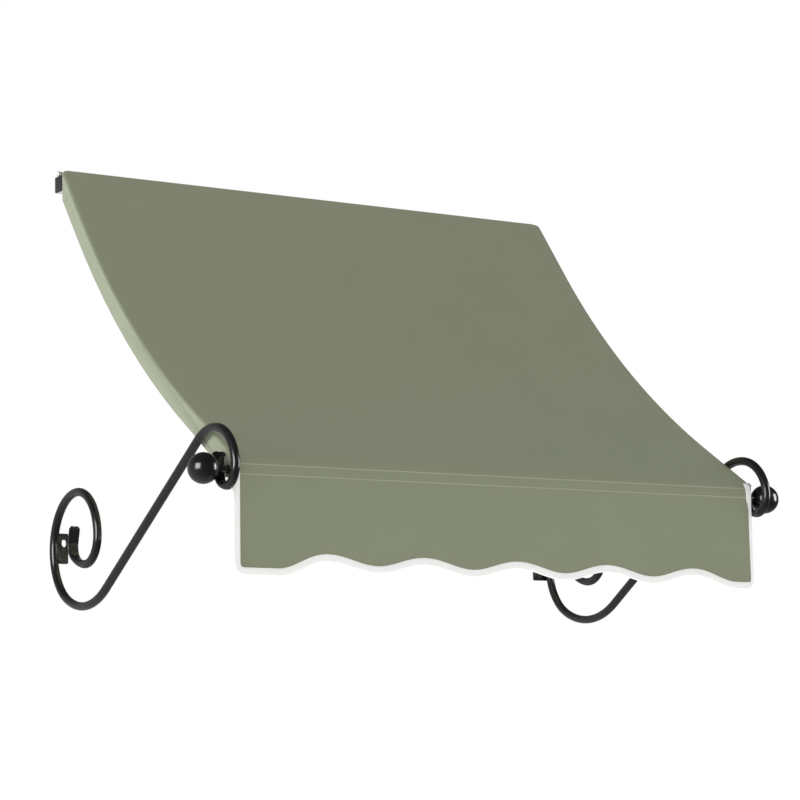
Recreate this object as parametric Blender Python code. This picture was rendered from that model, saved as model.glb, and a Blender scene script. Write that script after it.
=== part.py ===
"""A window awning: a curved fabric canopy on a light frame, held out by two scrolled steel arms.

The frame is the wall's: +X runs along the wall, +Y into it and +Z up, in metres. The origin is the
centre of the head rail's back face, which lies on the wall.
"""

import math

import bmesh
import bpy
from mathutils import Matrix, Vector

# Cloth: the canopy's width, and the thickness of its layers and of the gap kept between neighbours.
CANOPY_HALF_WIDTH = 0.5145
CLOTH = 0.0012
GAP = 0.0003

# Head rail: a hollow box section with a round keder channel along its top.
RAIL_DEPTH = 0.031
RAIL_HEIGHT = 0.028
RAIL_WALL = 0.002
RAIL_CAP = 0.0034
CHANNEL_Y = -0.0125
CHANNEL_Z = 0.0182
CHANNEL_OUTER_R = 0.0046
CHANNEL_BORE_R = 0.0031
CHANNEL_MOUTH = 0.0024
CHANNEL_MOUTH_ANGLE = 45.0
ROPE_R = 0.0026

# Canopy, as its section runs: off the rail, down a straight, a long hollow curve, a straight, a nose
# and the hanging front, which starts at HEM_Z.
SLOPE_TOP = (-0.0335, 0.0155)
SLOPE_HEADING = 233.7
SLOPE_RUN = 0.131
SLOPE_RADIUS = 1.67
SLOPE_TURN = 20.0
SLOPE_END_RUN = 0.130
NOSE_RADIUS = 0.028
HEM_Z = -0.604
SIDE_BAND_DEPTH = 0.031
SIDE_BAND_CORNER_R = 0.014

# Hanging front: its scalloped hem and the tape that binds its sides and hem.
FRONT_FOOT_Z = -0.770
SIDE_HEM_Z = -0.754
SCALLOP_LOW_Z = -0.747
SCALLOP_HIGH_Z = -0.733
SCALLOP_FIRST_X = -0.345
SCALLOP_PITCH = 0.1825
SCALLOP_COUNT = 5
SCALLOP_STEPS = 10
BINDING_WIDTH = 0.011
BINDING_CORNER_R = 0.014

# Front bar, its pocket, and the stack on each of its ends: plug, rib eye, bush, washer and ball.
BAR_Z = -0.592
BAR_R = 0.014
BAR_WALL = 0.002
POCKET_CLOTH = 0.001
POCKET_HALF_LENGTH = 0.498
PLUG_DEPTH = 0.022
STUD_R = 0.004
BORE_CLEARANCE = 0.0003
WASHER_THICKNESS = 0.0012
WASHER_R = 0.011
BALL_R = 0.025
BALL_FLAT_R = 0.0135
BALL_BORE_DEPTH = 0.020

# Side ribs: curved flat bars just inside the side bands.
RIB_THICKNESS = 0.003
RIB_TOP_OFFSET = 0.003
RIB_DEPTH = 0.024
RIB_EYE_R = 0.013
RIB_SINK = 0.0005
RIB_TAB_WIDTH = 0.022
RIB_TAB_LOW_Z = -0.013
RIB_TAB_HIGH_Z = 0.004
SCREW_R = 0.0024
SCREW_HEAD_R = 0.0045
SCREW_HEAD_HEIGHT = 0.0028
SCREW_LENGTH = 0.012

# Scroll arms: one round rod each, rolled from its wall end to its front end in a plane X = const.
ARM_X = 0.526
ROD_R = 0.0065
ROD_SIDES = 12
TURN_STEP = 8.0
RIBBON_WIDTH = 0.019
RIBBON_THICKNESS = 0.0045
LIMB_Z = -0.658
DIAGONAL_RUN = 0.396
WALL_SCROLL = [(0.0925, 90.0), (0.0825, 90.0), (0.045, 90.0)]
WALL_CURL = [(0.070, 35.0), (0.028, 70.0)]
WALL_RIBBON_RUN = 0.027
LOWER_BEND = [(0.100, 62.0), (0.155, 59.4)]
FRONT_SCROLL = [(0.090, 43.0), (0.073, 68.0), (0.033, 70.0)]
FRONT_CURL = [(0.0255, 120.4)]
FRONT_RIBBON_RUN = 0.031

# Wall plates, one welded behind each arm, with a slotted screw hole inboard of the rod.
PLATE_THICKNESS = 0.006
PLATE_HEIGHT = 0.053
PLATE_OUTBOARD = 0.0
PLATE_INBOARD = 0.031
PLATE_Z = -0.652
PLATE_CORNER_R = 0.002
SLOT_INBOARD = 0.0238
SLOT_RISE = 0.0095
SLOT_WIDTH = 0.0102
SLOT_LENGTH = 0.0135

LATHE_STEPS = 24
ARC_STEP = 0.016

# Derived places.
LIMB_Y = -(PLATE_THICKNESS + GAP + ROD_R)
RIB_INNER_X = CANOPY_HALF_WIDTH - CLOTH - 2 * GAP - RIB_THICKNESS
RAIL_HALF_LENGTH = CANOPY_HALF_WIDTH - RAIL_CAP
BAR_HALF_LENGTH = RIB_INNER_X - 2 * GAP - BAR_WALL


def clear_scene():
    """Empties the file of objects, so that the script can run again in an open one."""
    for old in list(bpy.data.objects):
        bpy.data.objects.remove(old, do_unlink=True)


def material(name, colour, roughness, metallic=0.0):
    """Makes one Principled material."""
    made = bpy.data.materials.new(name)
    made.use_nodes = True
    shader = made.node_tree.nodes["Principled BSDF"]
    shader.inputs["Base Color"].default_value = (*colour, 1.0)
    shader.inputs["Roughness"].default_value = roughness
    shader.inputs["Metallic"].default_value = metallic
    return made


def add_object(name, bm, finish, parent, smooth=True):
    """Turns a bmesh into a named object under the awning's empty."""
    bmesh.ops.recalc_face_normals(bm, faces=bm.faces[:])
    mesh = bpy.data.meshes.new(name)
    bm.to_mesh(mesh)
    bm.free()
    mesh.materials.append(finish)
    if smooth:
        mesh.shade_smooth()
        mesh.set_sharp_from_angle(angle=math.radians(35))
    made = bpy.data.objects.new(name, mesh)
    bpy.context.collection.objects.link(made)
    made.parent = parent
    return made


def boolean(target, cutter, operation):
    """Cuts or joins with a hidden guide object, which the model leaves out."""
    cutter.hide_render = True
    cutter.display_type = "WIRE"
    change = target.modifiers.new(f"{operation.lower()}_{cutter.name}", "BOOLEAN")
    change.object = cutter
    change.operation = operation
    change.solver = "EXACT"


def direction(heading):
    """The unit step of a heading in degrees, 0 along the section's first axis."""
    return Vector((math.cos(math.radians(heading)), math.sin(math.radians(heading))))


def walk(start, heading, moves, degrees_step=None):
    """Follows straights (length, None) and arcs (radius, turn), and returns points and the heading.

    A positive turn is to the left. Arcs are cut every degrees_step, or about every ARC_STEP of length.
    """
    points = [Vector(start)]
    for size, turn in moves:
        if turn is None:
            points.append(points[-1] + direction(heading) * size)
            continue
        side = math.copysign(1.0, turn)
        centre = points[-1] + direction(heading + 90.0 * side) * size
        if degrees_step:
            count = max(2, round(abs(turn) / degrees_step))
        else:
            count = max(4, round(size * math.radians(abs(turn)) / ARC_STEP))
        for step in range(1, count + 1):
            spoke = heading + turn * step / count - 90.0 * side
            points.append(centre + direction(spoke) * size)
        heading += turn
    return points, heading


def offset(points, distance):
    """A copy of a path moved to its left by a distance, mitred at its corners."""
    moved = []
    for index, point in enumerate(points):
        before = points[max(index - 1, 0)]
        after = points[min(index + 1, len(points) - 1)]
        ahead = (after - point if index == 0 else point - before).normalized()
        behind = (point - before if index == len(points) - 1 else after - point).normalized()
        normal = Vector((-ahead.y - behind.y, ahead.x + behind.x)).normalized()
        across = normal.dot(Vector((-ahead.y, ahead.x)))
        moved.append(point + normal * distance / across)
    return moved


def prism(outline, axis, low, high):
    """Extrudes a closed outline along X (its points are Y, Z) or along Y (its points are X, Z)."""
    bm = bmesh.new()
    corners = []
    for first, second in outline:
        place = (low, first, second) if axis == "X" else (first, low, second)
        corners.append(bm.verts.new(place))
    face = bm.faces.new(corners)
    grown = bmesh.ops.extrude_face_region(bm, geom=[face])
    moved = [item for item in grown["geom"] if isinstance(item, bmesh.types.BMVert)]
    shift = Vector((high - low, 0, 0)) if axis == "X" else Vector((0, high - low, 0))
    bmesh.ops.translate(bm, verts=moved, vec=shift)
    return bm


def lathe(profile, centre, axis="X", steps=LATHE_STEPS):
    """Spins a closed profile of (distance along the axis, radius) about a line through centre."""
    bm = bmesh.new()
    corners = []
    for along, radius in profile:
        place = (along, 0.0, radius) if axis == "X" else (0.0, along, radius)
        corners.append(bm.verts.new(Vector(place) + Vector(centre)))
    edges = [bm.edges.new((corners[i - 1], corners[i])) for i in range(len(corners))]
    line = (1, 0, 0) if axis == "X" else (0, 1, 0)
    bmesh.ops.spin(
        bm, geom=corners + edges, cent=centre, axis=line,
        angle=math.tau, steps=steps, use_merge=True,
    )
    bmesh.ops.remove_doubles(bm, verts=bm.verts[:], dist=1e-6)
    bmesh.ops.dissolve_degenerate(bm, edges=bm.edges[:], dist=1e-6)
    return bm


def rounded_rectangle(low, high, radius, steps=3):
    """The outline of a rectangle with round corners."""
    outline = []
    corners = [
        (high[0] - radius, high[1] - radius, 0.0), (low[0] + radius, high[1] - radius, 90.0),
        (low[0] + radius, low[1] + radius, 180.0), (high[0] - radius, low[1] + radius, 270.0),
    ]
    for across, up, start in corners:
        for step in range(steps + 1):
            outline.append(Vector((across, up)) + direction(start + 90.0 * step / steps) * radius)
    return outline


def rectangle(low, high):
    """The outline of a plain rectangle."""
    return [(low[0], low[1]), (high[0], low[1]), (high[0], high[1]), (low[0], high[1])]


def canopy_path():
    """The outer line of the canopy's section, from the rail's channel to its front hem."""
    slope, heading = walk(SLOPE_TOP, SLOPE_HEADING, [
        (SLOPE_RUN, None), (SLOPE_RADIUS, -SLOPE_TURN), (SLOPE_END_RUN, None),
    ], degrees_step=2.0)
    nose, heading = walk(slope[-1], heading, [(NOSE_RADIUS, 270.0 - heading)], degrees_step=8.0)
    return slope + nose[1:] + [Vector((nose[-1].x, HEM_Z))]


def canopy_tail():
    """The outer line from inside the channel's mouth, over the channel, to the top of the slope."""
    centre = Vector((CHANNEL_Y, CHANNEL_Z))
    spoke = direction(CHANNEL_MOUTH_ANGLE)
    wrap_radius = CHANNEL_OUTER_R + GAP + CLOTH
    start = centre + spoke * (ROPE_R + GAP) + Vector((spoke.y, -spoke.x)) * CLOTH / 2
    outside = centre + spoke * wrap_radius + Vector((spoke.y, -spoke.x)) * CLOTH / 2
    over, _ = walk(
        centre + direction(CHANNEL_MOUTH_ANGLE + 12.0) * wrap_radius, CHANNEL_MOUTH_ANGLE + 102.0,
        [(wrap_radius, 78.0 - CHANNEL_MOUTH_ANGLE)], degrees_step=11.0,
    )
    shoulder = Vector((SLOPE_TOP[0] + 0.006, over[-1].y - 0.0015))
    return [start, outside] + over + [shoulder]


def slope_only():
    """The sloping and nosed part of the canopy's outer line, without the hem's last point."""
    return canopy_path()[:-1]


def front_y():
    """The outer face of the canopy's front hem."""
    return canopy_path()[-1].x


def bar_centre():
    """The front bar's axis, one cloth pocket behind the hanging front."""
    layers = CLOTH + POCKET_CLOTH + 2 * GAP
    return (0.0, front_y() + layers + BAR_R, BAR_Z)


def clip_behind(points, limit):
    """Cuts a line that runs away from the wall where it crosses the plane Y = limit."""
    kept = [point for point in points if point.x < limit]
    first = points.index(kept[0])
    inside, outside = points[first], points[first - 1]
    share = (limit - outside.x) / (inside.x - outside.x)
    return [outside + (inside - outside) * share] + kept


def band_lower_edge(depth):
    """The inner line of a side band or rib, depth below the cloth, down to short of the front bar."""
    line = offset(slope_only(), depth)
    return [point for point in line if point.x > bar_centre()[1] + SIDE_BAND_DEPTH]


def side_band_outline():
    """The side band's section: under the canopy's edge, square to the rail, deeper at the bar."""
    back = -RAIL_DEPTH - GAP
    upper = clip_behind(offset(canopy_path(), CLOTH + GAP), back)
    upper = upper[:-1] + [Vector((upper[-1].x, HEM_Z))]
    lower = clip_behind(band_lower_edge(SIDE_BAND_DEPTH), back)
    inner_y = bar_centre()[1] + BAR_R + SIDE_BAND_CORNER_R / 2
    corner, _ = walk(
        (inner_y - SIDE_BAND_CORNER_R, HEM_Z), 0.0, [(SIDE_BAND_CORNER_R, 90.0)], degrees_step=22.5,
    )
    return upper + corner + lower[::-1]


def clip_to_eye(points):
    """Ends a line where it runs into the circle of the rib's eye."""
    _, eye_y, eye_z = bar_centre()
    eye = Vector((eye_y, eye_z))
    kept = [points[0]]
    for point in points[1:]:
        if (point - eye).length > RIB_EYE_R:
            kept.append(point)
            continue
        ray = (point - kept[-1]).normalized()
        along = (eye - kept[-1]).dot(ray)
        away = (eye - kept[-1] - ray * along).length
        kept.append(kept[-1] + ray * (along - math.sqrt(RIB_EYE_R ** 2 - away ** 2)))
        return kept
    return kept


def rib_outline():
    """The rib's section: square against the rail at its back, a round eye on the bar at its front."""
    back = -RAIL_DEPTH - GAP - RIB_SINK
    _, eye_y, eye_z = bar_centre()
    eye = Vector((eye_y, eye_z))
    upper = clip_behind(offset(slope_only(), CLOTH + RIB_TOP_OFFSET), back)
    upper = [point for point in upper if point.x > eye_y + RIB_EYE_R / 3]
    lower = clip_to_eye(clip_behind(offset(slope_only(), CLOTH + RIB_TOP_OFFSET + RIB_DEPTH), back))
    above, below = upper[-1] - eye, lower[-1] - eye
    start = math.degrees(math.atan2(above.y, above.x) + math.acos(RIB_EYE_R / above.length))
    sweep = (math.degrees(math.atan2(below.y, below.x)) - start) % 360.0
    count = round(sweep / 15.0)
    arc = [eye + direction(start + sweep * step / count) * RIB_EYE_R for step in range(count)]
    return upper + arc + lower[::-1]


def hem_line():
    """The outer line of the binding in X, Z: down the left side, along the hem, up the right side."""
    half = CANOPY_HALF_WIDTH
    pitch = SCALLOP_PITCH
    middle = (SCALLOP_LOW_Z + SCALLOP_HIGH_Z) / 2
    swing = (SCALLOP_HIGH_Z - SCALLOP_LOW_Z) / 2
    wave = []
    for step in range(SCALLOP_COUNT * SCALLOP_STEPS + 1):
        turn = math.tau * step / SCALLOP_STEPS
        wave.append(Vector((SCALLOP_FIRST_X - pitch / 2 + pitch * step / SCALLOP_STEPS,
                            middle - swing * math.cos(turn))))
    left, _ = walk((-half, HEM_Z), 270.0, [
        (HEM_Z - SIDE_HEM_Z - BINDING_CORNER_R, None), (BINDING_CORNER_R, 90.0),
    ], degrees_step=18.0)
    right, _ = walk((half, HEM_Z), 270.0, [
        (HEM_Z - SIDE_HEM_Z - BINDING_CORNER_R, None), (BINDING_CORNER_R, -90.0),
    ], degrees_step=18.0)
    return left + wave + right[::-1]


def build_head_rail(finish, parent):
    """The extruded rail: a box, a channel on top, and a mouth through which the cloth leaves."""
    half = RAIL_HALF_LENGTH
    low, high = (-RAIL_DEPTH, -RAIL_HEIGHT / 2), (0.0, RAIL_HEIGHT / 2)
    rail = add_object("head_rail", prism(rectangle(low, high), "X", -half, half), finish, parent)
    centre = (0.0, CHANNEL_Y, CHANNEL_Z)
    ring = [(-half, 0.0), (half, 0.0), (half, CHANNEL_OUTER_R), (-half, CHANNEL_OUTER_R)]
    boolean(rail, add_object("rail_channel_guide", lathe(ring, centre), finish, parent), "UNION")
    over = half + RAIL_WALL
    bore = [(-over, 0.0), (over, 0.0), (over, CHANNEL_BORE_R), (-over, CHANNEL_BORE_R)]
    boolean(rail, add_object("rail_bore_guide", lathe(bore, centre), finish, parent), "DIFFERENCE")
    hollow = prism(rectangle(
        (low[0] + RAIL_WALL, low[1] + RAIL_WALL), (-RAIL_WALL, high[1] - 2 * RAIL_WALL),
    ), "X", -over, over)
    boolean(rail, add_object("rail_hollow_guide", hollow, finish, parent), "DIFFERENCE")
    spoke = direction(CHANNEL_MOUTH_ANGLE)
    across = Vector((-spoke.y, spoke.x)) * CHANNEL_MOUTH / 2
    root = Vector((CHANNEL_Y, CHANNEL_Z))
    reach = spoke * CHANNEL_OUTER_R * 2
    mouth = prism([root - across, root + reach - across, root + reach + across, root + across],
                  "X", -over, over)
    boolean(rail, add_object("rail_mouth_guide", mouth, finish, parent), "DIFFERENCE")
    for side in (-1, 1):
        hole = lathe([(-0.004, 0.0), (0.004, 0.0), (0.004, SCREW_R + BORE_CLEARANCE),
                      (-0.004, SCREW_R + BORE_CLEARANCE)],
                     (side * rib_screw_x(), -RAIL_DEPTH + RAIL_WALL / 2, rib_screw_z()), "Y", 16)
        guide = add_object(f"rail_screw_guide_{side}", hole, finish, parent)
        boolean(rail, guide, "DIFFERENCE")


def rib_screw_x():
    """How far out the screw that holds a rib's tab sits."""
    return RIB_INNER_X - RIB_TAB_WIDTH / 2


def rib_screw_z():
    """The height of the screw that holds a rib's tab."""
    return (RIB_TAB_LOW_Z + RIB_TAB_HIGH_Z) / 2


def build_keder_rope(finish, parent):
    """The rope in the rail's channel that the canopy's top edge is sewn round."""
    half = RAIL_HALF_LENGTH - RAIL_CAP
    profile = [(-half, 0.0), (half, 0.0), (half, ROPE_R), (-half, ROPE_R)]
    add_object("keder_rope", lathe(profile, (0.0, CHANNEL_Y, CHANNEL_Z), steps=12), finish, parent)


def build_canopy(finish, parent):
    """The cloth: one sheet from the rail to the scalloped hem, cut back where the tape binds it."""
    outer = canopy_tail() + canopy_path()[:-1] + [Vector((front_y(), FRONT_FOOT_Z))]
    outline = outer + offset(outer, CLOTH)[::-1]
    sheet = prism(outline, "X", -CANOPY_HALF_WIDTH, CANOPY_HALF_WIDTH)
    canopy = add_object("canopy", sheet, finish, parent)
    waste = offset(hem_line(), BINDING_WIDTH + GAP)
    beyond, below = 2 * CANOPY_HALF_WIDTH, FRONT_FOOT_Z - BINDING_WIDTH
    frame = [(-beyond, below), (-beyond, HEM_Z), *waste, (beyond, HEM_Z), (beyond, below)]
    cutter = prism(frame, "Y", front_y() - 3 * CLOTH, front_y() + 4 * CLOTH)
    boolean(canopy, add_object("hem_guide", cutter, finish, parent), "DIFFERENCE")


def build_hem_binding(finish, parent):
    """The folded tape that binds the hanging front's sides and hem."""
    edge = hem_line()
    edge[0] = Vector((edge[0].x, HEM_Z - GAP))
    edge[-1] = Vector((edge[-1].x, HEM_Z - GAP))
    band = prism(edge + offset(edge, BINDING_WIDTH)[::-1], "Y",
                 front_y() - CLOTH, front_y() + 2 * CLOTH)
    add_object("hem_binding", band, finish, parent)


def build_bar_pocket(finish, parent):
    """The cloth sleeve sewn behind the canopy's front, which the front bar slides into."""
    inner, half = BAR_R + GAP, POCKET_HALF_LENGTH
    outer = inner + POCKET_CLOTH
    profile = [(-half, inner), (half, inner), (half, outer), (-half, outer)]
    add_object("bar_pocket", lathe(profile, bar_centre()), finish, parent)


def build_front_bar(finish, parent):
    """The round tube across the front."""
    inner, half = BAR_R - BAR_WALL, BAR_HALF_LENGTH
    profile = [(-half, inner), (half, inner), (half, BAR_R), (-half, BAR_R)]
    add_object("front_bar", lathe(profile, bar_centre()), finish, parent)


def build_side(side, finishes, parent):
    """Everything that stands once at each end of the awning; side is -1 for left and 1 for right."""
    name = "left" if side < 0 else "right"
    metal, black, cloth, plastic, steel = finishes
    bar = bar_centre()

    def across(low, high):
        """Orders two distances from the middle as X on this side."""
        return sorted((side * low, side * high))

    def turned(node, profile, finish, centre=bar, steps=LATHE_STEPS):
        """Adds a part turned about the bar's axis, its profile given as distances from the middle."""
        placed = [(side * along, radius) for along, radius in profile]
        return add_object(f"{node}_{name}", lathe(placed, centre, steps=steps), finish, parent)

    # Rail cap, a plain black block on the rail's end.
    cap = prism(rounded_rectangle((-RAIL_DEPTH, -RAIL_HEIGHT / 2), (0.0, RAIL_HEIGHT / 2), 0.0015),
                "X", *across(RAIL_HALF_LENGTH + GAP, CANOPY_HALF_WIDTH))
    add_object(f"rail_cap_{name}", cap, plastic, parent)

    # Side band, with the hole that the bush passes through.
    band = prism(side_band_outline(), "X", *across(CANOPY_HALF_WIDTH - CLOTH, CANOPY_HALF_WIDTH))
    band = add_object(f"side_band_{name}", band, cloth, parent, False)
    bush_r = -bar[1] + arm_ribbon_y() - RIBBON_THICKNESS / 2 - GAP
    rim = bush_r + CLOTH
    hole = [(RIB_INNER_X, 0.0), (ARM_X, 0.0), (ARM_X, rim), (RIB_INNER_X, rim)]
    boolean(band, turned("band_hole_guide", hole, cloth), "DIFFERENCE")

    # Rib: the curved flat bar, its tab on the rail and its eye on the stud.
    rib_x = (RIB_INNER_X, RIB_INNER_X + RIB_THICKNESS)
    rib = add_object(f"side_rib_{name}", prism(rib_outline(), "X", *across(*rib_x)), metal, parent)
    back = -RAIL_DEPTH - GAP
    tab = prism(rectangle((back - RIB_THICKNESS, RIB_TAB_LOW_Z), (back, RIB_TAB_HIGH_Z)),
                "X", *across(rib_x[1] - RIB_TAB_WIDTH, rib_x[1] - RIB_SINK))
    boolean(rib, add_object(f"rib_tab_guide_{name}", tab, metal, parent), "UNION")
    bore = STUD_R + BORE_CLEARANCE
    hole = [(rib_x[0] - GAP, 0.0), (rib_x[1] + GAP, 0.0), (rib_x[1] + GAP, bore),
            (rib_x[0] - GAP, bore)]
    boolean(rib, turned("rib_bore_guide", hole, metal), "DIFFERENCE")
    screw_place = (side * rib_screw_x(), back, rib_screw_z())
    bore = SCREW_R + BORE_CLEARANCE
    hole = lathe([(-0.008, 0.0), (0.002, 0.0), (0.002, bore), (-0.008, bore)], screw_place, "Y", 16)
    guide = add_object(f"rib_screw_guide_{name}", hole, metal, parent)
    boolean(rib, guide, "DIFFERENCE")

    # Rib screw: a pan head in front of the tab, its shank through the tab and the rail's wall.
    seat = -RIB_THICKNESS - GAP
    head = [(seat, 0.0), (seat, SCREW_HEAD_R), (seat - SCREW_HEAD_HEIGHT / 2, SCREW_HEAD_R),
            (seat - SCREW_HEAD_HEIGHT, SCREW_HEAD_R * 0.6), (seat - SCREW_HEAD_HEIGHT, 0.0)]
    shank = [(SCREW_LENGTH + seat, 0.0), (SCREW_LENGTH + seat, SCREW_R), (seat, SCREW_R)]
    screw = lathe(shank + head[1:], screw_place, "Y", 16)
    add_object(f"rib_screw_{name}", screw, steel, parent)

    # Bar plug: a stepped plug in the tube's end, drilled for the stud.
    rim, body = BAR_R, BAR_R - BAR_WALL - GAP
    bore = STUD_R + BORE_CLEARANCE
    end, face = BAR_HALF_LENGTH, RIB_INNER_X - GAP
    turned("bar_plug", [(end - PLUG_DEPTH, bore), (face, bore), (face, rim), (end + GAP, rim),
                        (end + GAP, body), (end - PLUG_DEPTH, body)], plastic)

    # Bush: the short sleeve welded to the arm's front ribbon, between the rib and the ball.
    start, stop = rib_x[1] + GAP, ARM_X + RIBBON_WIDTH / 2
    turned("arm_bush", [(start, bore), (stop, bore), (stop, bush_r), (start, bush_r)], black)

    # Washer, ball and the stud that draws the stack together.
    washer = stop + GAP
    turned("ball_washer", [(washer, bore), (washer + WASHER_THICKNESS, bore),
                           (washer + WASHER_THICKNESS, WASHER_R), (washer, WASHER_R)], black)
    flat = washer + WASHER_THICKNESS + GAP
    centre = flat + math.sqrt(BALL_R ** 2 - BALL_FLAT_R ** 2)
    profile = [(flat + BALL_BORE_DEPTH, 0.0), (flat + BALL_BORE_DEPTH, bore), (flat, bore)]
    first = math.degrees(math.asin(BALL_FLAT_R / BALL_R))
    for step in range(15):
        spoke = math.radians(180.0 - first - (180.0 - first) * step / 14)
        profile.append((centre + BALL_R * math.cos(spoke), BALL_R * math.sin(spoke)))
    turned("ball_finial", profile, black)
    stud_low, stud_high = end - PLUG_DEPTH, flat + BALL_BORE_DEPTH - 2 * GAP
    turned("finial_stud", [(stud_low, 0.0), (stud_high, 0.0), (stud_high, STUD_R),
                           (stud_low, STUD_R)], steel, steps=16)


def arm_stations():
    """The rod's stations from wall ribbon to front ribbon: centre (Y, Z), heading and flatness.

    Flatness runs from 0, the round rod, to 1, the forged ribbon at each end.
    """
    def stretch(start, heading, moves, low, high):
        """One run of the rod, with its flatness going evenly from low to high."""
        points, end = walk(start, heading, moves, degrees_step=TURN_STEP)
        count = len(points) - 1
        return [(point, low + (high - low) * i / count) for i, point in enumerate(points)], end

    limb = (LIMB_Y, LIMB_Z)
    inner, heading = stretch(limb, 90.0, WALL_SCROLL, 0.0, 0.0)
    curl, heading = stretch(inner[-1][0], heading, WALL_CURL, 0.0, 1.0)
    tip, _ = stretch(curl[-1][0], heading, [(WALL_RIBBON_RUN, None)], 1.0, 1.0)
    bend = [(radius, -turn) for radius, turn in LOWER_BEND]
    outer, heading = stretch(limb, -90.0, bend + [(DIAGONAL_RUN, None)] + FRONT_SCROLL, 0.0, 0.0)
    hook, heading = stretch(outer[-1][0], heading, FRONT_CURL, 0.0, 1.0)
    end, _ = stretch(hook[-1][0], heading, [(FRONT_RIBBON_RUN, None)], 1.0, 1.0)
    wall_side = inner + curl[1:] + tip[1:]
    return wall_side[::-1] + outer[1:] + hook[1:] + end[1:]


def arm_ribbon_y():
    """The mid-plane of the ribbon at the front end of the arm."""
    return arm_stations()[-1][0].x


def build_arm(side, finish, parent):
    """One scroll arm: rings set along the rod's line and bridged, flattened towards both ends."""
    stations = arm_stations()
    count = len(stations)
    bm = bmesh.new()
    rings = []
    for index, (centre, flat) in enumerate(stations):
        before, after = stations[max(index - 1, 0)][0], stations[min(index + 1, count - 1)][0]
        ahead = (after - before).normalized()
        smooth = flat * flat * (3.0 - 2.0 * flat)
        half_width = ROD_R + (RIBBON_WIDTH / 2 - ROD_R) * smooth
        half_depth = ROD_R + (RIBBON_THICKNESS / 2 - ROD_R) * smooth
        place = Matrix((
            (1.0, 0.0, 0.0, 0.0),
            (0.0, -ahead.y, ahead.x, centre.x),
            (0.0, ahead.x, ahead.y, centre.y),
            (0.0, 0.0, 0.0, 1.0),
        ))
        ring = bmesh.ops.create_circle(
            bm, segments=ROD_SIDES, radius=1.0, cap_ends=index in (0, count - 1),
            matrix=place @ Matrix.Diagonal((half_width, half_depth, 1.0, 1.0)),
        )
        verts = set(ring["verts"])
        rings.append([edge for edge in bm.edges if edge.verts[0] in verts and edge.verts[1] in verts])
    for first, second in zip(rings, rings[1:]):
        bmesh.ops.bridge_loops(bm, edges=first + second)
    name = "left" if side < 0 else "right"
    arm = add_object(f"scroll_arm_{name}", bm, finish, parent)
    arm.location.x = side * ARM_X


def build_wall_plate(side, finish, parent):
    """The flat plate behind the arm's limb, with an upright slot for its screw."""
    name = "left" if side < 0 else "right"
    inboard = side * (ARM_X - PLATE_INBOARD)
    outboard = side * (ARM_X + PLATE_OUTBOARD)
    low_x, high_x = min(inboard, outboard), max(inboard, outboard)
    half = PLATE_HEIGHT / 2
    outline = rounded_rectangle((low_x, PLATE_Z - half), (high_x, PLATE_Z + half), PLATE_CORNER_R)
    plate = add_object(f"wall_plate_{name}", prism(outline, "Y", -PLATE_THICKNESS, 0.0), finish, parent)
    middle, slot_z = side * (ARM_X - SLOT_INBOARD), PLATE_Z + SLOT_RISE
    slot = rounded_rectangle(
        (middle - SLOT_WIDTH / 2, slot_z - SLOT_LENGTH / 2),
        (middle + SLOT_WIDTH / 2, slot_z + SLOT_LENGTH / 2), SLOT_WIDTH / 2 - 1e-5, steps=5,
    )
    cutter = prism(slot, "Y", -PLATE_THICKNESS - 0.002, 0.002)
    boolean(plate, add_object(f"plate_slot_guide_{name}", cutter, finish, parent), "DIFFERENCE")


def main():
    """Builds the awning, sub-part by sub-part."""
    clear_scene()
    awning = bpy.data.objects.new("awning", None)
    bpy.context.collection.objects.link(awning)

    aluminium = material("aluminium", (0.72, 0.73, 0.74), 0.35, 1.0)
    black = material("black_enamel", (0.015, 0.015, 0.016), 0.3)
    plastic = material("black_plastic", (0.03, 0.03, 0.03), 0.5)
    steel = material("zinc_steel", (0.6, 0.6, 0.58), 0.35, 1.0)
    cloth = material("sage_canvas", (0.20, 0.22, 0.155), 0.9)
    tape = material("white_binding", (0.75, 0.74, 0.72), 0.85)
    rope = material("white_rope", (0.8, 0.8, 0.78), 0.8)

    build_head_rail(aluminium, awning)
    build_keder_rope(rope, awning)
    build_canopy(cloth, awning)
    build_hem_binding(tape, awning)
    build_bar_pocket(cloth, awning)
    build_front_bar(aluminium, awning)
    for side in (-1, 1):
        build_side(side, (aluminium, black, cloth, plastic, steel), awning)
        build_arm(side, black, awning)
        build_wall_plate(side, black, awning)


main()
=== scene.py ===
"""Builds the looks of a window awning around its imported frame.

The frame is the wall's: +X runs along the wall, +Y into it and +Z up, in metres. The origin is the
centre of the head rail's back face.
"""

from __future__ import annotations

import logging
import math
from collections.abc import Callable, Sequence
from dataclasses import dataclass, field
from enum import Enum

import bmesh
import bpy
from mathutils import Euler, Matrix, Vector

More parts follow.
